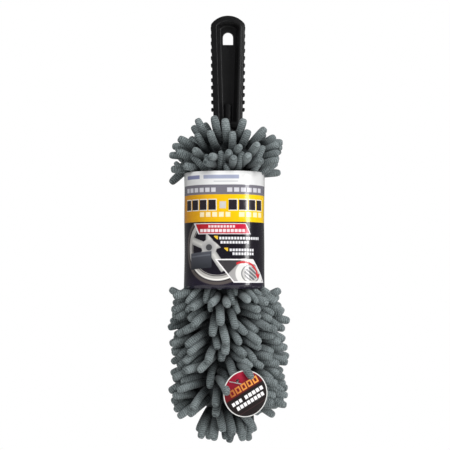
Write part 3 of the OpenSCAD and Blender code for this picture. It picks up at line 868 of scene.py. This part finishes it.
def roundBar(a, b, radius, roundness, start, sides=24):
    # a bar from a to b whose ends are ellipses: at angle t from the axis the ring's radius is
    # r*sin t and it stands r*roundness*(1 - cos t) inside the end
    length = np.linalg.norm(b - a)
    t = np.linspace(0, math.pi / 2, 7)[1:]
    inside, wide = radius * roundness * (1 - np.cos(t)), radius * np.sin(t)
    along = np.concatenate([inside, length - inside[::-1]])
    across = np.concatenate([wide, wide[::-1]])
    axis = (b - a) / length
    side = unit(np.cross(axis, [1.0, 0, 0] if abs(axis[0]) < 0.8 else [0, 0, 1.0]))
    other = np.cross(axis, side)
    angle = np.arange(sides) / sides * 2 * math.pi
    ring = np.cos(angle)[:, None] * side + np.sin(angle)[:, None] * other
    body = a + along[:, None, None] * axis + across[:, None, None] * ring
    points = np.concatenate([body.reshape(-1, 3), [a], [b]])
    return points, [[i + start for i in f] for f in tubeFaces(len(along), sides, 1)]


def mouldedPlastic():
    r = Recipe("blackMouldedPlastic")
    place = r.place()
    grain = r.noise(place, 1900, 3, 0.6)
    wear = r.noise(place, 38, 3)
    shade = r.colour(wear, rgb(0.0045, 0.0045, 0.005), rgb(0.0085, 0.0085, 0.0088))
    rough = 0.34 + grain * 0.12 + wear * 0.08
    return r.finish(Base_Color=shade, Roughness=rough, Specular_IOR_Level=0.32,
                    Normal=r.bump(grain, 0.16, 0.0002))


makeHandle(mouldedPlastic())
print("handle made")


sleeve = {
    "cloth": 0.0012, "rowStep": 0.004, "columns": 72, "boreRadius": 0.0028,
    "foamGap": 0.0004,            # between the foam and the cloth
    "partGap": 0.0002,            # from each end of a foam piece to its stretch's end
    "hemRadius": 0.0090, "hemRise": 0.0085, "hemCloth": 0.0005,
    "pleats": 22, "pleatDepth": 0.0008,
}


def sleeveLoops(z, inset, columns):
    # Closed loops round the sleeve, one per height: x = w*sin(a) with w the outline's half width at
    # that height, and y the height of the rounded pad there, sqrt(thick^2 - distance to the flat
    # region^2), in front for one half turn and behind for the other.
    thick = pad["halfThick"] - inset
    cornerZ = flatBottom + flatCorner
    turnRadius = flatCorner + thick
    drop = np.clip(cornerZ - z, 0, turnRadius)
    wide = flatHalf - flatCorner + np.sqrt(np.maximum(turnRadius ** 2 - drop ** 2, 0))
    a = -math.pi / 2 + np.arange(columns) / columns * 2 * math.pi
    x = wide[:, None] * np.sin(a)
    p = np.stack([x, 0 * x, np.broadcast_to(z[:, None], x.shape)], -1)
    away = np.linalg.norm(p - nearestOnFlat(p), axis=-1)
    y = np.sqrt(np.maximum(thick ** 2 - away ** 2, 0)) * np.where(np.cos(a) > 0, -1, 1)
    return np.stack([x, y, p[..., 2]], -1)


def heightRows(high, low, inset):
    # heights from high to low, and for the last stretch down the rounded end, closer towards the tip
    bottom = pad["bottom"] + inset
    cornerZ = flatBottom + flatCorner
    if low > bottom:
        return np.linspace(high, low, max(3, int(round((high - low) / sleeve["rowStep"])) + 1))
    straight = np.linspace(high, cornerZ, max(3, int(round((high - cornerZ) / sleeve["rowStep"])) + 1))
    turn = np.radians([9, 18, 27, 36, 45, 54, 62, 69, 75, 80, 84, 87.5])
    return np.concatenate([straight, cornerZ - (cornerZ - bottom) * np.sin(turn)])


def knittedCloth():
    r = Recipe("knittedBacking")
    place = r.place()
    loops = r.noise(place, 1400, 2, 0.6)
    soil = r.noise(place, 60, 3)
    shade = r.colour(loops * 0.7 + soil * 0.3, rgb(0.020, 0.024, 0.026), rgb(0.075, 0.088, 0.092))
    return r.finish(Base_Color=shade, Roughness=0.95, Normal=r.bump(loops, 0.7, 0.0004),
                    Sheen_Weight=0.2)


def creamFoam():
    r = Recipe("openCellFoam")
    place = r.place()
    cells = r.noise(place, 900, 4, 0.75)
    patch = r.noise(place, 45, 2)
    shade = r.colour(cells * 0.6 + patch * 0.4, rgb(0.50, 0.43, 0.30), rgb(0.80, 0.74, 0.58))
    return r.finish(Base_Color=shade, Roughness=0.97, Normal=r.bump(cells, 0.8, 0.0005))


def makeSleeve():
    cloth, foam = knittedCloth(), creamFoam()
    columns = sleeve["columns"]
    coreStretches = [dict(part) for part in stretches if part["name"] != "aboveBand"]
    coreStretches[1]["high"] = neckEnd
    for part in coreStretches:
        high = min(part["high"], pad["top"])
        # the two cloth panels meet in the seams at the sides
        z = heightRows(high, part["low"], 0.0)
        loops = sleeveLoops(z, 0.0, columns)
        half = columns // 2
        halfLoop = np.arange(half + 1)
        for side, chosen in (("front", halfLoop), ("back", (halfLoop + half) % columns)):
            panel = loops[:, chosen]
            piece = addMesh(f"{side}-cloth-{part['name']}", panel.reshape(-1, 3),
                            gridFaces(len(z), half + 1)[:, ::-1], cloth)
            wall = piece.modifiers.new("cloth", "SOLIDIFY")
            wall.thickness, wall.offset = sleeve["cloth"], -1
            follow(piece, part["plan"])
            if part["core"]:
                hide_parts(f"{side}_backing_{part['core']}")
        # the foam: up its bore, over the top, down the outside and in again below
        tip = part["name"] == "tip"
        inset = sleeve["cloth"] + sleeve["foamGap"]
        z = heightRows(high - sleeve["partGap"], part["low"] + sleeve["partGap"], inset)
        loops = sleeveLoops(z, inset, columns)
        a = -math.pi / 2 + np.arange(columns) / columns * 2 * math.pi
        circle = np.stack([np.sin(a), -np.cos(a)], -1) * sleeve["boreRadius"]
        boreEnd = capHigh + 0.0006 if tip else z[-1]
        bore = [np.column_stack([circle, np.full(columns, level)])
                for level in np.linspace(boreEnd, z[0], 8)]
        rows = np.concatenate([np.stack(bore), loops])
        if tip:
            rows = np.concatenate([capBore(a), rows])
            faces = gridFaces(len(rows), columns, wrapCols=True)[:, ::-1].tolist()
            pole = len(rows) * columns
            ends = [[0, 0, capLow], [0, 0, pad["bottom"] + inset]]
            points = np.concatenate([rows.reshape(-1, 3), ends])
            faces += poleFaces(0, columns, pole, True).tolist()
            faces += poleFaces(pole - columns, columns, pole + 1, False).tolist()
        else:
            faces = gridFaces(len(rows), columns, wrapCols=True, wrapRows=True)[:, ::-1]
            points = rows.reshape(-1, 3)
        piece = addMesh(f"foam-{part['name']}", points, faces, foam)
        follow(piece, part["plan"])
        if part["core"]:
            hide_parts(f"foam_slab_{part['core']}")


def capBore(a):
    # loops of the wider hollow round the wire's cap: a half ball, then a cylinder up to its rim
    capWide = capRadius + 0.0002
    t = np.radians([25, 50, 70, 90])
    radius = np.append(capWide * np.sin(t), [capWide, sleeve["boreRadius"]])
    level = np.append(capLow + capWide * (1 - np.cos(t)), [capHigh + 0.0002, capHigh + 0.0003])
    return np.stack([np.column_stack([np.sin(a) * q, -np.cos(a) * q, np.full(len(a), v)])
                     for q, v in zip(radius, level)])


def meshArea(grid):
    # area of a grid of points, from its quads' diagonals
    one = grid[1:, 1:] - grid[:-1, :-1]
    two = grid[1:, :-1] - grid[:-1, 1:]
    return np.linalg.norm(np.cross(one, two), axis=-1).sum() / 2


def makeHem():
    # Rows from the head's top edge in to the neck and up it. Each row is a blend of the sleeve's loop
    # and a circle round the neck, with pleats: radius += depth*sin(pleats*angle), deeper near the top.
    count = sleeve["pleats"] * 12
    a = -math.pi / 2 + np.arange(count) / count * 2 * math.pi
    outer = sleeveLoops(np.array([pad["top"]]), 0.0, count)[0]
    pleat = np.sin(a * sleeve["pleats"]) + 0.25 * np.sin(a * 9 + 1.3)
    base, rise = hemLow[2] + 0.0002, sleeve["hemRise"]
    rows = []
    angle = np.arctan2(outer[:, 0], -outer[:, 1])
    circle = np.stack([np.sin(angle), -np.cos(angle)], -1) * (sleeve["hemRadius"] + 0.0009)
    circle = circle * (1 + pleat * sleeve["pleatDepth"] * 0.5 / sleeve["hemRadius"])[:, None]
    for t in np.linspace(0, 1, 9):
        flat = outer[:, :2] * (1 - t) + circle * t
        z = base + 0.0013 * math.sin(t * math.pi / 2) + 0.0006 * t * pleat
        rows.append(np.column_stack([flat, z]))
    for t in np.linspace(0.08, 1, 14):
        squeeze = math.exp(-((t - 0.62) / 0.16) ** 2)   # the elastic's pull
        depth = sleeve["pleatDepth"] * (0.8 + 0.9 * t - 1.1 * squeeze)
        radius = sleeve["hemRadius"] + 0.0012 * max(0.0, t - 0.7) + 0.0004 * (1 - squeeze)
        radius = np.maximum(radius + depth * 0.55 * pleat, hemInner)
        z = np.full(count, base + 0.0015 + (rise - 0.0008) * t) + 0.0005 * t * np.sin(a * 5)
        rows.append(np.column_stack([np.sin(angle) * radius, -np.cos(angle) * radius, z]))
    grid = np.stack(rows)
    piece = addMesh("gathered-hem", grid.reshape(-1, 3),
                    gridFaces(len(grid), count, wrapCols=True), bpy.data.materials["knittedBacking"])
    wall = piece.modifiers.new("cloth", "SOLIDIFY")
    wall.thickness, wall.offset = sleeve["hemCloth"], 0
    closed = np.concatenate([grid, grid[:, :1]], axis=1)
    width = np.linalg.norm(np.diff(closed[0], axis=0), axis=-1).sum()
    area = meshArea(closed)
    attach(piece, bodyNames[0])
    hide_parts("sleeve_hem")
    return width, area / width


(_, _, capLow), (capRadius, _, capHigh) = nodeBox("wire_tip_cap")
hemInner = grip["neckWide"] / 2 + 0.00045
makeSleeve()
print("hem's cut, width and length:", *(round(float(v), 4) for v in makeHem()))
print("sleeve made")


cardEdge = {"columns": 230, "rows": 22, "ripple": 0.00016, "lapRise": 0.006}


def bandLine(u, radius):
    # the band seen from above at distance u from the middle of its front: a straight, a half circle
    # and the back straight each way; u is measured on the outer radius
    core = band["outerHalfWide"] - band["outerHalfThick"]
    outer = band["outerHalfThick"]
    side, s = np.sign(u), np.abs(u)
    turn = np.clip((s - core) / outer, 0, math.pi)
    behind = np.clip(s - core - math.pi * outer, 0, None)
    x = side * (np.minimum(s, core) + radius * np.sin(turn) - behind)
    return band["centreX"] + x, -radius * np.cos(turn)


def makeBand(material):
    # a closed sheet of card: the outer face from bottom to top, then the inner face back down; the
    # overlap rises by one thickness over its last stretch
    core = band["outerHalfWide"] - band["outerHalfThick"]
    halfRound = 2 * core + math.pi * band["outerHalfThick"]
    u = np.linspace(-halfRound - band["lapWidth"], halfRound - 0.0003, cardEdge["columns"])
    lift = (band["card"] + 0.00008) * smoothStep(-halfRound + cardEdge["lapRise"], -halfRound, u)
    v = np.linspace(0, 1, cardEdge["rows"])
    high = band["top"] - band["bottom"]
    loops = []
    for inner in (False, True):
        rows = v[::-1] if inner else v
        for t in rows:
            wave = np.sin(u * 61 + t * 5.0) * np.sin(t * 7.5 + u * 23)
            wave = wave + 0.6 * np.sin(u * 140 + 2.0 - t * 9)
            flare = 0.0004 * (t - 0.5) ** 4 * 16
            radius = band["outerHalfThick"] + lift + cardEdge["ripple"] * wave + flare - 0.0002
            x, y = bandLine(u, radius - (band["card"] if inner else 0))
            z = band["bottom"] + t * high + 0.0003 * np.sin(u * 37) * (t - 0.5)
            loops.append(np.stack([x, y, z], -1))
    grid = np.stack(loops)
    rows = len(grid)
    faces = gridFaces(rows, len(u), wrapRows=True).tolist()
    last = len(u) - 1
    for k in range(cardEdge["rows"] - 1):           # quads that close the card's two ends
        a, b, c, d = k, k + 1, rows - 2 - k, rows - 1 - k
        faces.append([n * len(u) for n in (a, b, c, d)])
        faces.append([n * len(u) + last for n in (d, c, b, a)])
    across = np.tile(u * 1000, rows)
    up = np.repeat(np.concatenate([v, v[::-1] + 5]) * high * 1000, len(u))
    piece = addMesh("printed-card-band", grid.reshape(-1, 3), faces, material,
                    uv=np.stack([across, up], -1))
    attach(piece, bodyNames[1])
    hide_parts("card_band")


class Print(Recipe):
    # ink on card: shapes in millimetres, painted one over the other
    def start(self, colour, base=0.0):
        # base is the height of the artwork's foot above the card's lower edge
        self.u, self.v = self.flat()
        self.v = self.v - base if base else self.v
        self.ink = colour

    def paint(self, mask, colour):
        self.ink = self.colour(mask, self.ink, colour)

    def box(self, left, right, low, high, soft=0.3, slant=0.0, v=None):
        # a box whose sides lean: left and right are its sides at height low
        v = v or self.v
        u = self.u - (v - low) * slant if slant else self.u
        return u.above(left, soft) * u.below(right, soft) * v.above(low, soft) * v.below(high, soft)

    def blocks(self, left, low, high, count, pitch, wide, soft=0.3, grow=0.0, u=None, v=None):
        # a row of equal blocks: the distance along is folded to one pitch
        u, v = u or self.u, v or self.v
        folded = abs((u - left).wrap(pitch) - wide / 2)
        row = (u.above(left - grow, soft) * u.below(left + (count - 1) * pitch + wide + grow, soft)
               * v.above(low - grow, soft) * v.below(high + grow, soft))
        return row * folded.below(wide / 2 + grow, soft)

    def round(self, u0, v0, radius, wide=None, soft=0.3, flat=1.0):
        # a disc, or a ring of the given width inside that radius
        du, dv = self.u - u0, (self.v - v0) / flat
        away = (du * du + dv * dv) ** 0.5
        mask = away.below(radius, soft)
        return mask * away.above(radius - wide, soft) if wide else mask


def bandMaterial():
    r = Print("printedBandCard")
    r.start(rgb(0.0065, 0.0045, 0.010), 1.5)
    u, v = r.u, r.v
    drift = r.noise(r.place(), 28, 2)
    r.paint(v.below(9, 14) * 0.5, rgb(0.022, 0.016, 0.04))
    # the wheel: tyre edge, rim, five spokes and a hub, in the lower left of the dark field
    wheelClip = ((u + v).below(34, 0.5)).high(v.below(27, 0.4))

    def wheel(radius, wide, soft):
        return r.round(-7, 36.6, radius, wide, soft) * wheelClip

    r.paint(wheel(34.5, 3.0, 1.2), rgb(0.10, 0.085, 0.08))
    r.paint(wheel(30.5, 5.4, 0.6), r.colour(drift, rgb(0.30, 0.29, 0.28), rgb(0.62, 0.60, 0.57)))
    r.paint(wheel(26.4, 0.9, 0.5), rgb(0.05, 0.045, 0.045))
    r.paint(wheel(30.3, 1.5, 0.6) * v.below(24, 12), rgb(0.88, 0.86, 0.82))
    du, dv = u + 14.5, v - 37.5
    angle = dv.angleOver(du)
    away = (du * du + dv * dv) ** 0.5
    fifth = 2 * math.pi / 5
    across = abs(((angle + 0.35).wrap(fifth) - fifth / 2).sine() * away)
    spoke = across.below(3.4, 0.5) * away.below(26, 1.0) * wheel(27.0, None, 0.6)
    r.paint(spoke, r.colour(across / 4.2, rgb(0.66, 0.65, 0.62), rgb(0.26, 0.26, 0.26)))
    hubInk = r.colour(away / 7.4, rgb(0.24, 0.24, 0.25), rgb(0.52, 0.51, 0.50))
    r.paint(away.below(7.4, 0.5) * wheelClip, hubInk)
    r.paint(away.below(3.0, 0.4) * wheelClip, rgb(0.06, 0.06, 0.065))
    # a plain roller across the spokes
    leaning = v - (u + 21) * 0.10
    rollerInk = r.colour(((leaning - 17) / 17).limited(),
                         rgb(0.022, 0.024, 0.030), rgb(0.085, 0.09, 0.11))
    r.paint(r.box(-35, -12, 17.6, 33.2, 0.8, v=leaning), rollerInk)
    r.paint(r.box(-34, -13, 29.2, 30.4, 0.8, v=leaning) * 0.6, rgb(0.17, 0.18, 0.21))
    # ribbon with a pale edge and two rows of pale bars
    r.paint(r.box(-25.6, 26.2, 50.0, 60.4, 0.35, -0.52), rgb(0.80, 0.78, 0.80))
    # the red ink goes darker towards the left, which is painted shade of the band turning away from the
    # light on the right
    redInkAndPaintedShade = r.colour(((u + 24) / 50).limited(), rgb(0.42, 0.010, 0.018), rgb(0.62, 0.012, 0.055))
    r.paint(r.box(-24.3, 25.0, 50.7, 59.7, 0.35, -0.52), redInkAndPaintedShade)
    r.paint(r.blocks(-15.2, 56.2, 58.4, 9, 2.9, 2.2, 0.5) * 0.85, rgb(0.88, 0.80, 0.82))
    r.paint(r.blocks(-23.6, 51.9, 54.8, 12, 3.7, 3.0, 0.5) * 0.9, rgb(0.90, 0.84, 0.86))
    # two points, each a small yellow corner and two rows of bars
    for left, high, rows in ((-7.2, 48.4, ((-4.8, 45.0, 47.4, 15), (-3.6, 41.1, 43.5, 10))),
                             (2.4, 37.2, ((5.0, 33.9, 36.3, 9), (7.7, 30.3, 32.7, 8)))):
        corner = r.box(left - 2.4, left + 1.2, high - 3.2, high)
        r.paint(corner * (u + v).above(left + high - 3.1, 0.4), rgb(0.86, 0.55, 0.04))
        for start, low, top, count in rows:
            r.paint(r.blocks(start, low, top, count, 2.82, 2.15, 0.5) * 0.92, rgb(0.86, 0.85, 0.88))
    # the leaning inset: pale edge, a wheel's arcs and a bent red arrow
    r.paint(insetBox(r, 0.0), rgb(0.90, 0.88, 0.88))
    inside = insetBox(r, 1.2)
    r.paint(inside, r.colour(drift, rgb(0.26, 0.25, 0.25), rgb(0.55, 0.54, 0.53)))
    r.paint(inside * (u - v).below(-9, 1.0), rgb(0.05, 0.045, 0.05))
    for radius, wide, ink in ((16.5, None, rgb(0.80, 0.79, 0.77)), (11.0, None, rgb(0.13, 0.13, 0.14)),
                              (10.0, 2.2, rgb(0.56, 0.55, 0.54))):
        r.paint(inside * r.round(27, 13, radius, wide, 0.8, 0.82), ink)
    r.paint(inside * (u + v * 1.4).wrap(5.2).below(1.7, 0.8) * r.round(27, 13, 9, None, 0.8, 0.82),
            rgb(0.62, 0.61, 0.60))
    sweep = r.round(18.5, 6.5, 18.2, 2.0, 0.5) * (u - 11.5).above(0, 0.8) * (v - 11.5).above(0, 0.8)
    point = v.above(8.0, 0.4) * v.below(12.6, 0.4) * (abs(u - 35.2) - (v - 8.0) * 0.8).below(0, 0.5)
    r.paint(inside * sweep.high(point), rgb(0.60, 0.02, 0.03))
    # yellow field, going darker orange towards the left: painted shade of the band turning away from the
    # light on the right
    yellow = r.colour(((u + 44) / 60).limited(), rgb(0.70, 0.30, 0.008), rgb(0.93, 0.59, 0.0))
    r.paint(v.above(61.1, 0.3), rgb(0.05, 0.035, 0.02))
    r.paint(v.above(61.7, 0.3), yellow)
    for left, count, pitch, wide in ((-42.5, 4, 9.1, 7.3), (4.0, 4, 9.9, 8.0)):
        r.paint(r.blocks(left, 73.0, 82.6, count, pitch, wide, 0.35, 0.75), rgb(0.86, 0.82, 0.74))
        r.paint(r.blocks(left, 73.0, 82.6, count, pitch, wide, 0.35), rgb(0.018, 0.014, 0.02))
    r.paint(r.box(-4.4, 1.6, 74.4, 81.0, 0.5), rgb(0.60, 0.58, 0.56))
    for left, count, pitch, wide in ((-24.0, 5, 6.3, 4.6), (14.0, 4, 7.4, 5.4)):
        r.paint(r.blocks(left, 66.4, 70.9, count, pitch, wide, 0.5) * 0.85, rgb(0.97, 0.88, 0.62))
    # grey strip and white top
    r.paint(v.above(87.7, 0.3), rgb(0.172, 0.163, 0.195))
    for left, count, pitch, wide in ((-42.0, 6, 5.9, 4.4), (2.6, 6, 6.6, 5.0)):
        r.paint(r.blocks(left, 90.0, 94.1, count, pitch, wide, 0.5) * 0.85, rgb(0.72, 0.71, 0.76))
    r.paint(v.above(97.0, 0.35), rgb(0.80, 0.80, 0.80))
    r.paint(r.box(-41, -24, 102.6, 106.2, 0.5) * 0.85, rgb(0.12, 0.14, 0.32))
    r.paint(r.box(-20, 14, 102.6, 106.2, 0.5) * 0.75, rgb(0.21, 0.25, 0.42))
    r.paint(r.box(-10, 13, 99.6, 100.6, 0.5) * 0.55, rgb(0.35, 0.36, 0.40))
    # the unprinted inside of the card
    r.paint(v.above(300, 1.0), rgb(0.55, 0.54, 0.52))
    fibre = r.noise(r.place(), 900, 2)
    return r.finish(Base_Color=r.ink, Roughness=0.20 + drift * 0.08, Specular_IOR_Level=0.25,
                    Coat_Weight=0.8, Coat_Roughness=0.12, Normal=r.bump(fibre, 0.05, 0.0002))


def insetBox(r, inset):
    # the leaning frame, its four sides moved in by inset
    u, v = r.u, r.v
    low, high = 4.4 + inset, 26.6 - inset
    left = u + (v - 26.4) * 0.80
    right = u + (v - 26.6) * 0.78
    return (left.above(-8.8 + inset * 1.25, 0.35) * right.below(29.0 - inset * 1.25, 0.35)
            * v.above(low, 0.35) * v.below(high, 0.35))


makeBand(bandMaterial())
print("band made")


tagDetail = {
    "columns": 96, "curl": 0.0006, "hole": 0.0014, "edge": 0.00012,
    "barLength": 0.0122, "barRadius": 0.00044, "barTilt": math.radians(-12), "filament": 0.00028,
    "barShift": (-0.0023, -0.0018),                 # from the hole to the bar's middle
    "lip": 0.0009,                                  # from the hole's centre down to the filament
}


def tagPoint(right, up, out):
    # a point given in the tag's own right, up and outward distances
    right, up, out = (np.asarray(k)[..., None] for k in (right, up, out))
    return tag["centre"] + right * tag["right"] + up * tag["up"] + out * tag["out"]


def tagCurl(flat):
    # how far the card stands back: the square of the distance from a slanting line
    return -tagDetail["curl"] * (flat @ np.array([0.6, -0.8]) / (tag["diameter"] / 2)) ** 2


def makeTag(material):
    # rays from the hole's centre to the rim, as rows on the front, round the rim, and on the back
    n, radius, half = tagDetail["columns"], tag["diameter"] / 2, tag["thick"] / 2
    hole = np.array([math.cos(tag["holeAt"]), math.sin(tag["holeAt"])]) * tag["holeRadius"]
    angle = np.arange(n) / n * 2 * math.pi
    e = np.stack([np.cos(angle), np.sin(angle)], -1)
    along = e @ hole
    reach = -along + np.sqrt(along ** 2 - hole @ hole + radius ** 2)
    t = np.array([0, 0.03, 0.12, 0.25, 0.4, 0.55, 0.7, 0.84, 0.94, 0.985, 1.0])
    fronts, backs = [], []
    for k in t:
        flat = hole + e * (tagDetail["hole"] + (reach - tagDetail["hole"]) * k)[:, None]
        curl = tagCurl(flat)
        thin = half - (tagDetail["edge"] if k in (0.0, 1.0) else 0)
        fronts.append((flat, curl + thin))
        backs.append((flat, curl - thin))
    rows = fronts + backs[::-1]
    points = np.concatenate([tagPoint(f[:, 0], f[:, 1], out) for f, out in rows])
    shift = [0] * len(fronts) + [200] * len(backs)
    uv = np.concatenate([f * 1000 + [0, s] for (f, out), s in zip(rows, shift)])
    faces = gridFaces(len(rows), n, wrapCols=True, wrapRows=True)[:, ::-1]
    piece = addMesh("round-card-tag", points, faces, material, uv=uv)
    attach(piece, bodyNames[4])
    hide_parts("round_tag")


def tagMaterial():
    r = Print("printedTagCard")
    r.start(rgb(0.008, 0.0035, 0.0035))
    u, v = r.u, r.v
    slant = math.radians(29)
    along = u * math.cos(slant) + v * math.sin(slant)
    across = v * math.cos(slant) - u * math.sin(slant)
    red = r.colour(((across - 2.2) / 15).limited(), rgb(0.11, 0.004, 0.005), rgb(0.26, 0.004, 0.022))
    r.paint(across.above(2.2, 1.2), red)
    cloudy = (across - 12).above(0, 5) * (along * 0.12).sine().above(0.1, 0.6)
    r.paint(cloudy * 0.45, rgb(0.50, 0.02, 0.06))
    orange = r.colour(((along + 14) / 24).limited(), rgb(0.33, 0.09, 0.02), rgb(0.92, 0.36, 0.07))
    hollow = (r.blocks(-13.8, 3.6, 9.8, 5, 6.4, 5.2, 0.3, 0.0, along, across)
              * (1 - r.blocks(-12.4, 5.0, 8.4, 5, 6.4, 2.4, 0.3, 0.0, along, across)))
    r.paint(hollow, orange)
    # left, low, high, count, pitch and width of each row of bars
    for row in ((-16.6, -4.7, -1.3, 3, 3.9, 3.0), (-2.6, -4.7, -1.1, 5, 4.2, 3.3),
                (-14.2, -10.2, -6.6, 8, 3.85, 3.0)):
        r.paint(r.blocks(*row, 0.4, 0.0, along, across), rgb(0.86, 0.84, 0.85))
    r.paint((across + 14.6).above(0, 0.3) * (across + 14.2).below(0, 0.3) * 0.5, rgb(0.09, 0.03, 0.03))
    away = (u * u + v * v) ** 0.5
    edge = tag["diameter"] / 2 * 1000
    r.paint(away.above(edge - 0.95, 0.25), rgb(0.70, 0.70, 0.68))
    r.paint(v.above(100, 1.0), rgb(0.60, 0.59, 0.57))
    fibre = r.noise(r.place(), 700, 2)
    return r.finish(Base_Color=r.ink, Roughness=0.42, Specular_IOR_Level=0.14, Coat_Weight=0.06,
                    Coat_Roughness=0.15, Normal=r.bump(fibre, 0.06, 0.0002))


def clearNylon():
    r = Recipe("clearNylon")
    haze = r.noise(r.place(), 800, 2)
    shade = r.colour(haze, rgb(0.46, 0.45, 0.46), rgb(0.62, 0.61, 0.62))
    return r.finish(Base_Color=shade, Roughness=0.3, Transmission_Weight=0.35, IOR=1.53)


def makeFastener(material):
    # one moulding: the bar on the tag's face, the thin filament through the hole, and the paddle
    # that rests inside the cloth
    holeRight = math.cos(tag["holeAt"]) * tag["holeRadius"]
    holeUp = math.sin(tag["holeAt"]) * tag["holeRadius"]
    lift = tag["thick"] / 2 + tagDetail["barRadius"] + tagCurl(np.array([holeRight, holeUp]))
    halfBar = tagDetail["barLength"] / 2
    tilt = tagDetail["barTilt"]
    barRight, barUp = holeRight + tagDetail["barShift"][0], holeUp + tagDetail["barShift"][1]
    along, across = halfBar * math.cos(tilt), halfBar * math.sin(tilt)
    lipUp, depth, thin = holeUp - tagDetail["lip"], -fastenerDepth, tagDetail["filament"]
    # each one's two ends as right, up and outward, its radius and the roundness of its ends
    bars = [
        ((barRight - along, barUp - across, lift), (barRight + along, barUp + across, lift),
         tagDetail["barRadius"], 1.0),
        ((barRight + along * 0.3, barUp + across * 0.3, lift), (holeRight, lipUp, lift), thin, 1.0),
        ((holeRight, lipUp, lift), (holeRight, lipUp, depth), thin, 0.3),
        ((holeRight, holeUp, depth + 0.0006), (holeRight, holeUp, depth - 0.0006), 0.002, 0.2),
    ]
    points, faces, start = [], [], 0
    for a, b, radius, roundness in bars:
        p, f = roundBar(tagPoint(*a), tagPoint(*b), radius, roundness, start, 16)
        points.append(p)
        faces += f
        start += len(p)
    piece = addMesh("tag-fastener-moulding", np.concatenate(points), faces, material)
    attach(piece, bodyNames[4])
    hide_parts("tag_fastener")


holeFront = -(tag["centre"] + math.cos(tag["holeAt"]) * tag["holeRadius"] * tag["right"])[1]
fastenerDepth = (holeFront - pad["halfThick"] + 0.0016) / math.cos(tag["turn"]) + 0.0008
makeTag(tagMaterial())
makeFastener(clearNylon())
print("tag made")


def drawnSteel():
    r = Recipe("drawnSteelWire")
    place = r.place()
    mapping = r.node("ShaderNodeMapping", None, {"Vector": place, "Scale": (1.0, 1.0, 0.04)})
    lines = r.noise(mapping.outputs[0], 3000, 2)
    shade = r.colour(r.noise(place, 120, 3), rgb(0.42, 0.42, 0.43), rgb(0.62, 0.62, 0.63))
    return r.finish(Base_Color=shade, Metallic=1.0, Roughness=0.28 + lines * 0.2,
                    Normal=r.bump(lines, 0.2, 0.0001))


def naturalPolythene():
    r = Recipe("naturalPolythene")
    cloud = r.noise(r.place(), 300, 2)
    shade = r.colour(cloud, rgb(0.66, 0.66, 0.60), rgb(0.78, 0.78, 0.73))
    return r.finish(Base_Color=shade, Roughness=0.42, Normal=r.bump(cloud, 0.1, 0.0002))


def braidedElastic():
    r = Recipe("braidedElastic")
    split = r.node("ShaderNodeSeparateXYZ", None, {0: r.place()})
    x, y, z = (r.wire(split, k) for k in range(3))
    turn = y.angleOver(x)
    braid = (turn * 60 + z * 2600).sine() * (turn * 60 - z * 2600).sine() * 0.5 + 0.5
    shade = r.colour(braid, rgb(0.008, 0.008, 0.009), rgb(0.035, 0.035, 0.038))
    return r.finish(Base_Color=shade, Roughness=0.85, Normal=r.bump(braid, 0.8, 0.0003))


# finishes of the CAD pieces that show as they are
finishes = [(drawnSteel(), ["socket_pin"] + [f"core_wire_{i}" for i in zones]),
            (naturalPolythene(), ["wire_tip_cap"]), (braidedElastic(), ["hem_elastic"])]
for material, names in finishes:
    for name in names:
        for holder in frame["nodes"][name].material_slots:
            holder.material = material
print("finishes given")
